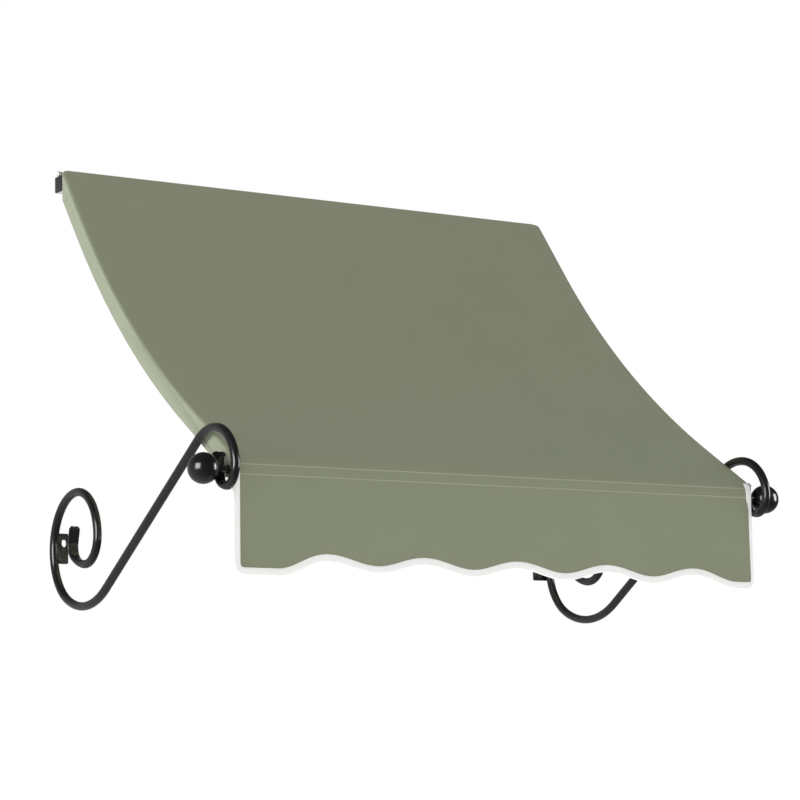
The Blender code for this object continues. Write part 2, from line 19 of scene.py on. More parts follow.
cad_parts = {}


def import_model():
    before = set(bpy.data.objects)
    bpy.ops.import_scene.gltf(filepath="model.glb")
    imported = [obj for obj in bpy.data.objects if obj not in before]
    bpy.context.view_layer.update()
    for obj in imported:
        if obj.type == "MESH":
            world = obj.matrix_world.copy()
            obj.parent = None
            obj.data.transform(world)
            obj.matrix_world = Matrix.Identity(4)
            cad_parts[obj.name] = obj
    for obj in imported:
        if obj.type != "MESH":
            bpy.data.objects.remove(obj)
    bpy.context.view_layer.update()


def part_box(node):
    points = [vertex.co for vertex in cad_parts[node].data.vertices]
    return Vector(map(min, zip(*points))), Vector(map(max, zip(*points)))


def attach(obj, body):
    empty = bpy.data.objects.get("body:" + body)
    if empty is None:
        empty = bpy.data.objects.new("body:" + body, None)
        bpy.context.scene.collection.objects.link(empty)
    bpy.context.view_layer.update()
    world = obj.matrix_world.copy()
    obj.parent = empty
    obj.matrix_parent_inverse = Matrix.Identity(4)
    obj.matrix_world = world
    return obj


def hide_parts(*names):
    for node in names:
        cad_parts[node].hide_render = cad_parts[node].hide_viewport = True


LOG = logging.getLogger("awning")
BODY = "root"
Colour = tuple[float, float, float]
Socket = bpy.types.NodeSocket
Value = float | Socket
ALONG_WALL = Vector((1.0, 0.0, 0.0)).freeze()
TO_STREET = Vector((0.0, -1.0, 0.0)).freeze()
CHANNEL = (-0.0125, 0.0182)
NOISE_RANGE = (0.3, 0.7)
FINE_RIM = 0.0006


class Side(Enum):
    """The two ends of the awning, as seen by someone facing it."""

    LEFT = -1
    RIGHT = 1

    @property
    def label(self) -> str:
        """The word that ends this side's piece names."""
        return self.name.lower()


class Thread(Enum):
    """How a cloth's threads cross: one over one, or in ribs across a tape."""

    PLAIN = "plain"
    RIBBED = "ribbed"


# ----- Lines -----


def heading_vector(degrees: float) -> Vector:
    """The unit step of a heading in the Y, Z plane, 0 along +Y and 90 along +Z."""
    return Vector((0.0, math.cos(math.radians(degrees)), math.sin(math.radians(degrees))))


@dataclass
class Line:
    """A line walked in the Y, Z plane in straights and arcs; a positive turn is to the left."""

    y: float
    z: float
    heading: float
    points: list[Vector] = field(default_factory=list)

    def __post_init__(self) -> None:
        """Puts down the first point."""
        self.points.append(Vector((0.0, self.y, self.z)))

    def straight(self, length: float, steps: int = 1) -> Line:
        """Goes straight on.

        Args:
            length: how far, in metres.
            steps: how many points that takes.

        Returns:
            The line itself.
        """
        start = self.points[-1]
        for step in range(1, steps + 1):
            self.points.append(start + heading_vector(self.heading) * length * step / steps)
        return self

    def arc(self, radius: float, turn: float, step: float = 4.0) -> Line:
        """Goes round an arc.

        Args:
            radius: the arc's radius, in metres.
            turn: the angle turned, in degrees, positive to the left.
            step: the most degrees between two points.

        Returns:
            The line itself.
        """
        side = math.copysign(1.0, turn)
        centre = self.points[-1] + heading_vector(self.heading + 90.0 * side) * radius
        count = max(2, math.ceil(abs(turn) / step))
        for number in range(1, count + 1):
            spoke = self.heading + turn * number / count - 90.0 * side
            self.points.append(centre + heading_vector(spoke) * radius)
        self.heading += turn
        return self

    def arcs(self, turns: Sequence[tuple[float, float]], step: float) -> Line:
        """Goes round one arc after another.

        Args:
            turns: each arc's radius, in metres, and angle, in degrees.
            step: the most degrees between two points.

        Returns:
            The line itself.
        """
        for radius, turn in turns:
            self.arc(radius, turn, step)
        return self

    def goto(self, y: float, z: float) -> Line:
        """Goes straight to a point, and heads the way that it went.

        Args:
            y: the point's place into the wall.
            z: its height.

        Returns:
            The line itself.
        """
        step = Vector((0.0, y, z)) - self.points[-1]
        self.heading = math.degrees(math.atan2(step.z, step.y)) % 360.0
        self.points.append(Vector((0.0, y, z)))
        return self


def lengths_along(points: Sequence[Vector]) -> list[float]:
    """Measures a line.

    Args:
        points: the line's points.

    Returns:
        The distance along it at each of them.
    """
    total = [0.0]
    for before, after in zip(points, points[1:]):
        total.append(total[-1] + (after - before).length)
    return total


def tangents(points: Sequence[Vector]) -> list[Vector]:
    """The unit direction of a line at each of its points."""
    last = len(points) - 1
    return [(points[min(i + 1, last)] - points[max(i - 1, 0)]).normalized() for i in range(last + 1)]


def smooth(value: float) -> float:
    """An even rise from 0 to 1 that starts and ends level."""
    value = min(1.0, max(0.0, value))
    return value * value * (3.0 - 2.0 * value)


# ----- Meshes -----


def ease_edges(bm: bmesh.types.BMesh, width: float, segments: int = 2, angle: float = 30.0) -> None:
    """Rounds every edge that turns by more than an angle.

    Args:
        bm: the mesh, which is changed.
        width: the size of the rounding, in metres.
        segments: how many faces it takes.
        angle: the least angle between two faces, in degrees, that is rounded.
    """
    sharp = [
        edge for edge in bm.edges
        if len(edge.link_faces) == 2 and edge.calc_face_angle(0.0) > math.radians(angle)
    ]
    bmesh.ops.bevel(
        bm, geom=sharp, offset=width, offset_type="OFFSET", segments=segments, profile=0.5,
        affect="EDGES", clamp_overlap=True, material=-1,
    )


def turned(
    profile: Sequence[tuple[float, float]], centre: Vector, axis: Vector, steps: int = 64
) -> bmesh.types.BMesh:
    """Spins a closed profile about a line.

    Args:
        profile: points as (distance along the axis, radius), in metres.
        centre: a point on the axis, from which the distances count.
        axis: the axis's unit direction.
        steps: how many steps make the full turn.

    Returns:
        The closed mesh.
    """
    bm = bmesh.new()
    out = axis.orthogonal().normalized()
    verts = [bm.verts.new(centre + axis * along + out * radius) for along, radius in profile]
    edges = [bm.edges.new((verts[i - 1], verts[i])) for i in range(len(verts))]
    bmesh.ops.spin(
        bm, geom=verts + edges, cent=centre, axis=axis, angle=math.tau, steps=steps, use_merge=True,
    )
    bmesh.ops.remove_doubles(bm, verts=bm.verts[:], dist=1e-6)
    bmesh.ops.dissolve_degenerate(bm, edges=bm.edges[:], dist=1e-6)
    bmesh.ops.recalc_face_normals(bm, faces=bm.faces[:])
    return bm


def cad_copy(node: str, ease: float, segments: int = 2) -> bmesh.types.BMesh:
    """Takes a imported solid's shape, merges its loose triangles and rounds its edges.

    Args:
        node: the solid's name in the frame.
        ease: the size of the rounding, in metres.
        segments: how many faces the rounding takes.

    Returns:
        The closed mesh.
    """
    bm = bmesh.new()
    bm.from_mesh(bpy.data.objects[node].data)
    bmesh.ops.remove_doubles(bm, verts=bm.verts[:], dist=2e-6)
    bmesh.ops.dissolve_limit(
        bm, angle_limit=math.radians(0.6), verts=bm.verts[:], edges=bm.edges[:],
    )
    ease_edges(bm, ease, segments)
    bmesh.ops.recalc_face_normals(bm, faces=bm.faces[:])
    return bm


def cloth_grid(
    columns: int, rows: int, place: Callable[[int, int], Vector], cut: Callable[[int, int], Vector]
) -> bmesh.types.BMesh:
    """Lays a grid of cloth over a surface.

    Args:
        columns: how many points across.
        rows: how many points along.
        place: gives the place of the point at a column and row.
        cut: gives the same point's place on the flat cloth, in metres, for its UV map.

    Returns:
        The open sheet, with its UV map.
    """
    bm = bmesh.new()
    made = bmesh.ops.create_grid(bm, x_segments=columns - 1, y_segments=rows - 1, size=0.5)
    layer = bm.loops.layers.uv.new("cloth")
    seat = {}
    for vert in made["verts"]:
        seat[vert] = (
            round((vert.co.x + 0.5) * (columns - 1)), round((vert.co.y + 0.5) * (rows - 1)),
        )
    for face in bm.faces:
        for loop in face.loops:
            loop[layer].uv = cut(*seat[loop.vert]).xy
    for vert, (column, row) in seat.items():
        vert.co = place(column, row)
    return bm


def add_ring(
    bm: bmesh.types.BMesh, sides: int, radius: float, capped: bool
) -> tuple[list[bmesh.types.BMVert], list[bmesh.types.BMEdge]]:
    """Adds a circle round the origin.

    Args:
        bm: the mesh, which is added to.
        sides: how many sides the circle has.
        radius: its radius.
        capped: whether it is filled.

    Returns:
        Its points and its edges.
    """
    ring = bmesh.ops.create_circle(bm, segments=sides, radius=radius, cap_ends=capped)["verts"]
    return ring, list({edge for vert in ring for edge in vert.link_edges})


def join_rings(bm: bmesh.types.BMesh, rings: Sequence[list[bmesh.types.BMEdge]]) -> None:
    """Closes the skin from each ring of edges to the next, and turns its faces outwards."""
    for first, second in zip(rings, rings[1:]):
        bmesh.ops.bridge_loops(bm, edges=first + second)
    bmesh.ops.recalc_face_normals(bm, faces=bm.faces[:])


def tube(node: str, wall: float) -> bmesh.types.BMesh:
    """Turns a plain tube along the wall.

    Args:
        node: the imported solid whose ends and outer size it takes.
        wall: how thick it is, in metres.

    Returns:
        The closed mesh.
    """
    low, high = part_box(node)
    centre = Vector((0.0, (low.y + high.y) / 2, (low.z + high.z) / 2))
    outer = (high.z - low.z) / 2
    inner = outer - wall
    profile = [(low.x, inner), (high.x, inner), (high.x, outer), (low.x, outer)]
    return turned(profile, centre, ALONG_WALL)


def swept(
    points: Sequence[Vector], section: Callable[[float], tuple[float, float, float]],
    sides: int = 28, tips: Callable[[float], float] | None = None,
) -> bmesh.types.BMesh:
    """Sweeps a rounded section along a line in a plane X = const.

    Args:
        points: the line's points.
        section: gives the section's half width along X, its half depth and its squareness, from 1
            for round towards 0 for square, at a distance along the line.
        sides: how many sides the section has.
        tips: gives how far an end's rim stands out, for a place across it from -1 to 1.

    Returns:
        The closed mesh.
    """
    bm = bmesh.new()
    along = lengths_along(points)
    rings = []
    for number, (point, way) in enumerate(zip(points, tangents(points))):
        half_width, half_depth, square = section(along[number])
        at_end = number in (0, len(points) - 1)
        ring, edges = add_ring(bm, sides, 1.0, at_end)
        rings.append(edges)
        depth_way = ALONG_WALL.cross(way)
        push = {}
        for vert in ring:
            across = math.copysign(abs(vert.co.x) ** square, vert.co.x)
            deep = math.copysign(abs(vert.co.y) ** square, vert.co.y)
            vert.co = point + Vector((across * half_width, 0.0, 0.0)) + depth_way * deep * half_depth
            push[vert] = way * (tips(across) * (1.0 if number else -1.0) if tips and at_end else 0.0)
        if at_end:
            caps = list({face for vert in ring for face in vert.link_faces})
            bmesh.ops.triangulate(bm, faces=caps, ngon_method="BEAUTY")
        for vert, step in push.items():
            vert.co += step
    join_rings(bm, rings)
    return bm


def bead(bm: bmesh.types.BMesh, place: Vector, way: Vector, normal: Vector, size: Vector) -> None:
    """Adds one stitch, a flattened bead.

    Args:
        bm: the mesh, which is added to.
        place: the stitch's middle.
        way: the unit direction that it runs in.
        normal: the unit direction away from the cloth.
        size: its half length, half width and half height.
    """
    across = normal.cross(way)
    frame = Matrix((way * size.x, across * size.y, normal * size.z)).transposed().to_4x4()
    frame.translation = place
    bmesh.ops.create_uvsphere(bm, u_segments=6, v_segments=4, radius=1.0, matrix=frame)


# ----- Shader nodes -----


@dataclass
class Nodes:
    """A node tree, with short ways to add to it."""

    tree: bpy.types.NodeTree

    def feed(self, node: bpy.types.Node, inputs: dict) -> None:
        """Sets or links a node's inputs.

        Args:
            node: the node.
            inputs: values or sockets for its inputs, by name or number.
        """
        for name, value in inputs.items():
            if isinstance(value, Socket):
                self.tree.links.new(value, node.inputs[name])
            else:
                node.inputs[name].default_value = value

    def add(self, kind: str, inputs: dict | None = None, **settings: object) -> bpy.types.Node:
        """Adds a node.

        Args:
            kind: the node's type.
            inputs: values or sockets for its inputs, by name or number.
            **settings: its own properties.

        Returns:
            The node.
        """
        node = self.tree.nodes.new(kind)
        for name, value in settings.items():
            setattr(node, name, value)
        self.feed(node, inputs or {})
        return node

    def group(self, tree: bpy.types.NodeTree, inputs: dict) -> bpy.types.NodeOutputs:
        """Adds a shader group, and returns its outputs."""
        return self.add("ShaderNodeGroup", inputs, node_tree=tree).outputs

    def math(self, operation: str, *values: Value) -> Socket:
        """Does arithmetic on values or sockets, and returns the result's socket."""
        return self.add("ShaderNodeMath", dict(enumerate(values)), operation=operation).outputs[0]

    def noise(self, place: Socket, scale: Value, detail: float = 3.0, rough: float = 0.5) -> Socket:
        """Adds noise at a place and a scale, and returns its factor's socket."""
        inputs = {"Vector": place, "Scale": scale, "Detail": detail, "Roughness": rough}
        return self.add("ShaderNodeTexNoise", inputs).outputs["Fac"]

    def span(self, value: Socket, low: float, high: float, to_low: float, to_high: float) -> Socket:
        """Maps a value from one range to another, and returns the result's socket."""
        inputs = {0: value, 1: low, 2: high, 3: to_low, 4: to_high}
        return self.add("ShaderNodeMapRange", inputs).outputs[0]

    def mix(self, share: Value, first: Socket | tuple, second: Socket | tuple) -> Socket:
        """Mixes two colours by a share from 0 to 1, and returns the result's socket."""
        inputs = {0: share, 6: first, 7: second}
        return self.add("ShaderNodeMix", inputs, data_type="RGBA").outputs[2]


def rgba(colour: Colour) -> tuple[float, float, float, float]:
    """A colour with full opacity."""
    return (*colour, 1.0)


def shader_group(
    name: str, inputs: dict[str, tuple[str, object]], outputs: dict[str, str],
    fill: Callable[[Nodes, bpy.types.NodeOutputs], dict[str, Socket]],
) -> bpy.types.NodeTree:
    """Makes a shader group once, and finds it again after that.

    Args:
        name: the group's name.
        inputs: each input's name, with its socket type and default.
        outputs: each output's name, with its socket type.
        fill: adds the group's nodes to what enters it, and returns what goes to each output.

    Returns:
        The group's tree.
    """
    found = bpy.data.node_groups.get(name)
    if found:
        return found
    tree = bpy.data.node_groups.new(name, "ShaderNodeTree")
    for label, (kind, default) in inputs.items():
        socket = tree.interface.new_socket(name=label, in_out="INPUT", socket_type=kind)
        if default is not None:
            socket.default_value = default
    for label, kind in outputs.items():
        tree.interface.new_socket(name=label, in_out="OUTPUT", socket_type=kind)
    nodes = Nodes(tree)
    entry = nodes.add("NodeGroupInput").outputs
    nodes.feed(nodes.add("NodeGroupOutput"), fill(nodes, entry))
    return tree


def weave_group() -> bpy.types.NodeTree:
    """The crossing threads of a woven cloth: their height, the gaps between them and stray flecks."""

    def fill(nodes: Nodes, entry: bpy.types.NodeOutputs) -> dict[str, Socket]:
        """Draws warp and weft as rounded ridges, each over the other by turns.

        Args:
            nodes: the group's nodes.
            entry: what enters the group.

        Returns:
            What leaves it, by output name.
        """
        place = entry["Place"]
        shift = nodes.math("MULTIPLY", nodes.noise(place, 180.0, 2.0), entry["Slub"])
        split = nodes.add("ShaderNodeSeparateXYZ", {0: place}).outputs
        ridges, cells = [], []
        for axis, count in ((0, "Warp Count"), (1, "Weft Count")):
            turns = nodes.math("ADD", nodes.math("MULTIPLY", split[axis], entry[count]), shift)
            half_turn = nodes.math("MULTIPLY", nodes.math("FRACT", turns), math.pi)
            ridges.append(nodes.math("SINE", half_turn))
            cells.append(nodes.math("FLOOR", turns))
        odd = nodes.math("PINGPONG", nodes.math("ADD", *cells), 1.0)
        over = nodes.add("ShaderNodeMix", {0: odd, 2: ridges[0], 3: ridges[1]}, data_type="FLOAT")
        both = nodes.math("MULTIPLY", *ridges)
        cover = nodes.math("MINIMUM", nodes.math("MULTIPLY", both, 2.5), 1.0)
        return {
            "Height": nodes.math("ADD", nodes.math("MULTIPLY", over.outputs[0], 0.6), both),
            "Gaps": nodes.math("SUBTRACT", 1.0, cover),
            "Flecks": nodes.noise(place, 900.0, 2.0, 0.7),
            "Clouds": nodes.noise(place, 7.0, 4.0, 0.6),
        }

    return shader_group(
        "woven_threads",
        {
            "Place": ("NodeSocketVector", None),
            "Warp Count": ("NodeSocketFloat", 1500.0),
            "Weft Count": ("NodeSocketFloat", 1300.0),
            "Slub": ("NodeSocketFloat", 0.6),
        },
        {name: "NodeSocketFloat" for name in ("Height", "Gaps", "Flecks", "Clouds")},
        fill,
    )


def grain_group() -> bpy.types.NodeTree:
    """A fine surface grain over a broader unevenness, each from 0 to 1."""

    def fill(nodes: Nodes, entry: bpy.types.NodeOutputs) -> dict[str, Socket]:
        """Stretches the place, then reads fine and broad noise there.

        Args:
            nodes: the group's nodes.
            entry: what enters the group.

        Returns:
            What leaves it, by output name.
        """
        ways = {0: entry["Place"], 1: entry["Stretch"]}
        place = nodes.add("ShaderNodeVectorMath", ways, operation="MULTIPLY").outputs[0]
        fine = nodes.noise(place, entry["Fineness"], 4.0, 0.6)
        return {"Fine": fine, "Broad": nodes.noise(place, 22.0)}

    return shader_group(
        "surface_grain",
        {
            "Place": ("NodeSocketVector", None),
            "Stretch": ("NodeSocketVector", (1.0, 1.0, 1.0)),
            "Fineness": ("NodeSocketFloat", 600.0),
        },
        {"Fine": "NodeSocketFloat", "Broad": "NodeSocketFloat"},
        fill,
    )


def wear_group() -> bpy.types.NodeTree:
    """A mask of rubbed edges and one of the thin dust that settles in patches."""

    def fill(nodes: Nodes, entry: bpy.types.NodeOutputs) -> dict[str, Socket]:
        """Breaks up the mesh's sharpness with noise for wear, and takes slow noise for dust.

        Args:
            nodes: the group's nodes.
            entry: what enters the group.

        Returns:
            What leaves it, by output name.
        """
        sharp = nodes.add("ShaderNodeNewGeometry").outputs["Pointiness"]
        edge = nodes.span(sharp, 0.53, 0.62, 0.0, 1.0)
        broken = nodes.span(nodes.noise(entry["Place"], 160.0, 4.0, 0.7), 0.48, 0.68, 0.0, 1.0)
        worn = nodes.math("MULTIPLY", edge, broken)
        patches = nodes.span(nodes.noise(entry["Place"], 12.0, 5.0, 0.65), 0.4, 0.75, 0.0, 1.0)
        return {
            "Worn": nodes.math("MULTIPLY", worn, entry["Wear"]),
            "Dusty": nodes.math("MULTIPLY", patches, entry["Dust"]),
        }

    return shader_group(
        "edge_wear_and_dust",
        {
            "Place": ("NodeSocketVector", None),
            "Wear": ("NodeSocketFloat", 0.5),
            "Dust": ("NodeSocketFloat", 0.3),
        },
        {"Worn": "NodeSocketFloat", "Dusty": "NodeSocketFloat"},
        fill,
    )


# ----- Finishes -----


@dataclass(frozen=True)
class Finish:
    """What every finish has: a name and a material slot's label."""

    name: str
    slot: str

    def material(self) -> bpy.types.Material:
        """Makes the finish's material once, and finds it again after that.

        Returns:
            The material.
        """
        found = bpy.data.materials.get(self.name)
        if found:
            return found
        made = bpy.data.materials.new(self.name)
        made.use_nodes = True
        shader = made.node_tree.nodes["Principled BSDF"]
        self.dress(Nodes(made.node_tree), shader)
        return made

    def dress(self, nodes: Nodes, shader: bpy.types.Node) -> None:
        """Adds the finish's nodes in front of its shader.

        Args:
            nodes: the material's nodes.
            shader: the one that they feed.
        """
        raise NotImplementedError

    @staticmethod
    def grain_and_wear(
        nodes: Nodes, fineness: float, dust: float, wear: float = 0.5, stretch: Colour = (1.0, 1.0, 1.0)
    ) -> tuple[bpy.types.NodeOutputs, bpy.types.NodeOutputs]:
        """Adds the grain and the wear that paint, metal and plastic have.

        Args:
            nodes: the material's nodes.
            fineness: how fine the grain is.
            dust: how dusty the surface is, from 0 to 1.
            wear: how rubbed its edges are, from 0 to 1.
            stretch: how the place is scaled before the grain is read.

        Returns:
            The outputs of the grain and of the wear.
        """
        place = nodes.add("ShaderNodeTexCoord").outputs["Object"]
        grain = {"Place": place, "Stretch": stretch, "Fineness": fineness}
        worn = {"Place": place, "Wear": wear, "Dust": dust}
        return nodes.group(grain_group(), grain), nodes.group(wear_group(), worn)

    @staticmethod
    def relief(nodes: Nodes, shader: bpy.types.Node, height: Socket, depth: float, strength: float) -> None:
        """Gives the shader a bumped normal from a height."""
        inputs = {"Height": height, "Distance": depth, "Strength": strength}
        nodes.feed(shader, {"Normal": nodes.add("ShaderNodeBump", inputs).outputs[0]})


@dataclass(frozen=True)
class WovenFinish(Finish):
    """Cloth or tape whose threads follow its own UV map."""

    colour: Colour
    shadow: Colour
    thread: Thread = Thread.PLAIN
    warp: float = 1500.0
    weft: float = 1300.0
    depth: float = 0.00012
    roughness: float = 0.85
    sheen: float = 0.04
    on_cloth: bool = True

    def dress(self, nodes: Nodes, shader: bpy.types.Node) -> None:
        """Weaves the threads, with darker gaps, stray flecks and slow clouds of shade.

        Args:
            nodes: the material's nodes.
            shader: the one that they feed.
        """
        source = nodes.add("ShaderNodeTexCoord").outputs["UV" if self.on_cloth else "Object"]
        weft = self.weft if self.thread is Thread.PLAIN else self.weft * 0.25
        inputs = {"Place": source, "Warp Count": self.warp, "Weft Count": weft}
        weave = nodes.group(weave_group(), inputs)
        gaps = nodes.math("MULTIPLY", weave["Gaps"], 0.35)
        flecks = nodes.span(weave["Flecks"], *NOISE_RANGE, 0.0, 0.16)
        clouds = nodes.span(weave["Clouds"], *NOISE_RANGE, 0.0, 0.10)
        share = nodes.math("ADD", gaps, nodes.math("ADD", flecks, clouds))
        smoothest, roughest = self.roughness - 0.05, self.roughness + 0.08
        nodes.feed(shader, {
            "Base Color": nodes.mix(share, rgba(self.colour), rgba(self.shadow)),
            "Roughness": nodes.span(weave["Flecks"], 0.2, 0.8, smoothest, roughest),
            "Specular IOR Level": 0.15,
            "Sheen Weight": self.sheen,
            "Sheen Roughness": 0.6,
        })
        self.relief(nodes, shader, weave["Height"], self.depth, 0.5)


@dataclass(frozen=True)
class EnamelFinish(Finish):
    """Semi-gloss paint with a slight orange peel, rubbed at its edges and a little dusty."""

    colour: Colour
    worn: Colour = (0.06, 0.06, 0.06)
    dusty: Colour = (0.03, 0.03, 0.029)
    gloss: float = 0.22
    coat: float = 0.4
    wear: float = 0.2
    dust: float = 0.15

    def dress(self, nodes: Nodes, shader: bpy.types.Node) -> None:
        """Paints the colour, breaks its gloss and wears its edges.

        Args:
            nodes: the material's nodes.
            shader: the one that they feed.
        """
        grain, wear = self.grain_and_wear(nodes, 480.0, self.dust, self.wear)
        colour = nodes.mix(wear["Dusty"], rgba(self.colour), rgba(self.dusty))
        rough = nodes.span(grain["Broad"], *NOISE_RANGE, self.gloss - 0.05, self.gloss + 0.07)
        nodes.feed(shader, {
            "Base Color": nodes.mix(wear["Worn"], colour, rgba(self.worn)),
            "Roughness": nodes.math("ADD", rough, nodes.math("MULTIPLY", wear["Dusty"], 0.25)),
            "Coat Weight": self.coat,
            "Coat Roughness": 0.08,
        })
        self.relief(nodes, shader, grain["Fine"], 0.00006, 0.08)


@dataclass(frozen=True)
class MetalFinish(Finish):
    """Bare metal, with a grain drawn along it."""

    colour: Colour
    roughness: float = 0.34
    stretch: Colour = (0.02, 1.0, 1.0)
    fineness: float = 900.0
    metallic: float = 0.6

    def dress(self, nodes: Nodes, shader: bpy.types.Node) -> None:
        """Draws the grain in colour, roughness and relief.

        Args:
            nodes: the material's nodes.
            shader: the one that they feed.
        """
        grain, wear = self.grain_and_wear(nodes, self.fineness, 0.5, stretch=self.stretch)
        bright = rgba(self.colour)
        dark = rgba(tuple(part * 0.82 for part in self.colour))
        colour = nodes.mix(nodes.math("MULTIPLY", grain["Fine"], 0.5), bright, dark)
        smoothest, roughest = self.roughness - 0.06, self.roughness + 0.08
        nodes.feed(shader, {
            "Base Color": nodes.mix(nodes.math("MULTIPLY", wear["Dusty"], 0.4), colour, dark),
            "Roughness": nodes.span(grain["Fine"], *NOISE_RANGE, smoothest, roughest),
            "Metallic": self.metallic,
        })
        self.relief(nodes, shader, grain["Fine"], 0.00005, 0.25)


@dataclass(frozen=True)
class PlasticFinish(Finish):
    """Moulded plastic with a fine even texture."""

    colour: Colour
    roughness: float = 0.45

    def dress(self, nodes: Nodes, shader: bpy.types.Node) -> None:
        """Grains the surface and lets dust lighten it.

        Args:
            nodes: the material's nodes.
            shader: the one that they feed.
        """
        grain, wear = self.grain_and_wear(nodes, 1400.0, 0.4)
        light = tuple(part * 2.0 + 0.02 for part in self.colour)
        share = nodes.math("ADD", nodes.math("MULTIPLY", wear["Dusty"], 0.5), wear["Worn"])
        smoothest, roughest = self.roughness - 0.08, self.roughness + 0.1
        nodes.feed(shader, {
            "Base Color": nodes.mix(share, rgba(self.colour), rgba(light)),
            "Roughness": nodes.span(grain["Fine"], *NOISE_RANGE, smoothest, roughest),
        })
        self.relief(nodes, shader, grain["Fine"], 0.0001, 0.4)


@dataclass(frozen=True)
class CordFinish(Finish):
    """Sewing thread or rope, with strands that wind along it."""

    colour: Colour
    shade: Colour
    pitch: float = 500.0

    def dress(self, nodes: Nodes, shader: bpy.types.Node) -> None:
        """Winds light and dark strands round the cord.

        Args:
            nodes: the material's nodes.
            shader: the one that they feed.
        """
        strands = nodes.add("ShaderNodeTexWave", {
            "Vector": nodes.add("ShaderNodeTexCoord").outputs["Object"],
            "Scale": self.pitch, "Distortion": 1.5, "Detail": 2.0,
        }, wave_type="BANDS", bands_direction="DIAGONAL").outputs["Fac"]
        nodes.feed(shader, {
            "Base Color": nodes.mix(strands, rgba(self.shade), rgba(self.colour)),
            "Roughness": nodes.span(strands, 0.0, 1.0, 0.85, 0.7),
        })
        self.relief(nodes, shader, strands, 0.0002, 0.6)


CANVAS = WovenFinish("woven_sage", "sage_canvas", (0.247, 0.269, 0.182), (0.180, 0.197, 0.130))
# A copy of the sage canvas for the side bands and the pocket. Its bluer colour and shadow are a painted
# tint that stands in for the whiter light falling on the lit side bands.
SIDE_LIGHT_TINTED_CANVAS = WovenFinish(
    "woven_sage_side_light_tint", "sage_canvas", (0.247, 0.268, 0.196), (0.180, 0.197, 0.142), on_cloth=False,
)
TAPE = WovenFinish(
    "woven_tape", "white_binding", (0.90, 0.885, 0.87), (0.76, 0.75, 0.73), Thread.RIBBED,
    warp=2200.0, weft=2600.0, depth=0.0001,
)
SEAM_THREAD = CordFinish("sage_thread", "sage_canvas", (0.66, 0.70, 0.58), (0.52, 0.56, 0.45), 900.0)
TAPE_THREAD = CordFinish("white_thread", "white_binding", (0.86, 0.85, 0.83), (0.70, 0.69, 0.67), 900.0)
ROPE = CordFinish("laid_rope", "white_rope", (0.82, 0.82, 0.79), (0.6, 0.6, 0.57), 220.0)
ENAMEL = EnamelFinish("gloss_enamel", "black_enamel", (0.0075, 0.0075, 0.008))
ALUMINIUM = MetalFinish("mill_aluminium", "aluminium", (0.80, 0.81, 0.82))
ZINC = MetalFinish("zinc_plate", "zinc_steel", (0.62, 0.62, 0.60), 0.3, (1.0, 1.0, 1.0), 260.0, 1.0)
PLASTIC = PlasticFinish("grained_plastic", "black_plastic", (0.020, 0.020, 0.021))


# ----- Pieces -----


def add_piece(
    name: str, bm: bmesh.types.BMesh, finish: Finish, stands_for: Sequence[str] = (),
    smooth_angle: float = 35.0,
) -> bpy.types.Object:
    """Turns a mesh into a finished piece that rides on the frame.

    Args:
        name: the piece's name.
        bm: its mesh, which is freed.
        finish: its finish.
        stands_for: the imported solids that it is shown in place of.
        smooth_angle: the angle, in degrees, up to which neighbouring faces shade as one.

    Returns:
        The piece's object.
    """
    mesh = bpy.data.meshes.new(name)
    bm.to_mesh(mesh)
    bm.free()
    mesh.materials.append(finish.material())
    mesh.shade_smooth()
    mesh.set_sharp_from_angle(angle=math.radians(smooth_angle))
    piece = bpy.data.objects.new(name, mesh)
    bpy.context.scene.collection.objects.link(piece)
    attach(piece, BODY)
    if stands_for:
        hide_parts(*stands_for)
    LOG.info("%s: %d faces, %s", name, len(mesh.polygons), finish.name)
    return piece


def add_thickness(piece: bpy.types.Object, thickness: float, offset: float = -1.0) -> None:
    """Gives a sheet its thickness, with closed rims.

    Args:
        piece: the sheet.
        thickness: its thickness, in metres.
        offset: where the sheet lies in it, from -1 for its front to 1 for its back.
    """
    shell = piece.modifiers.new("thickness", "SOLIDIFY")
    shell.thickness = thickness
    shell.offset = offset
    shell.use_even_offset = True
    shell.use_rim = True


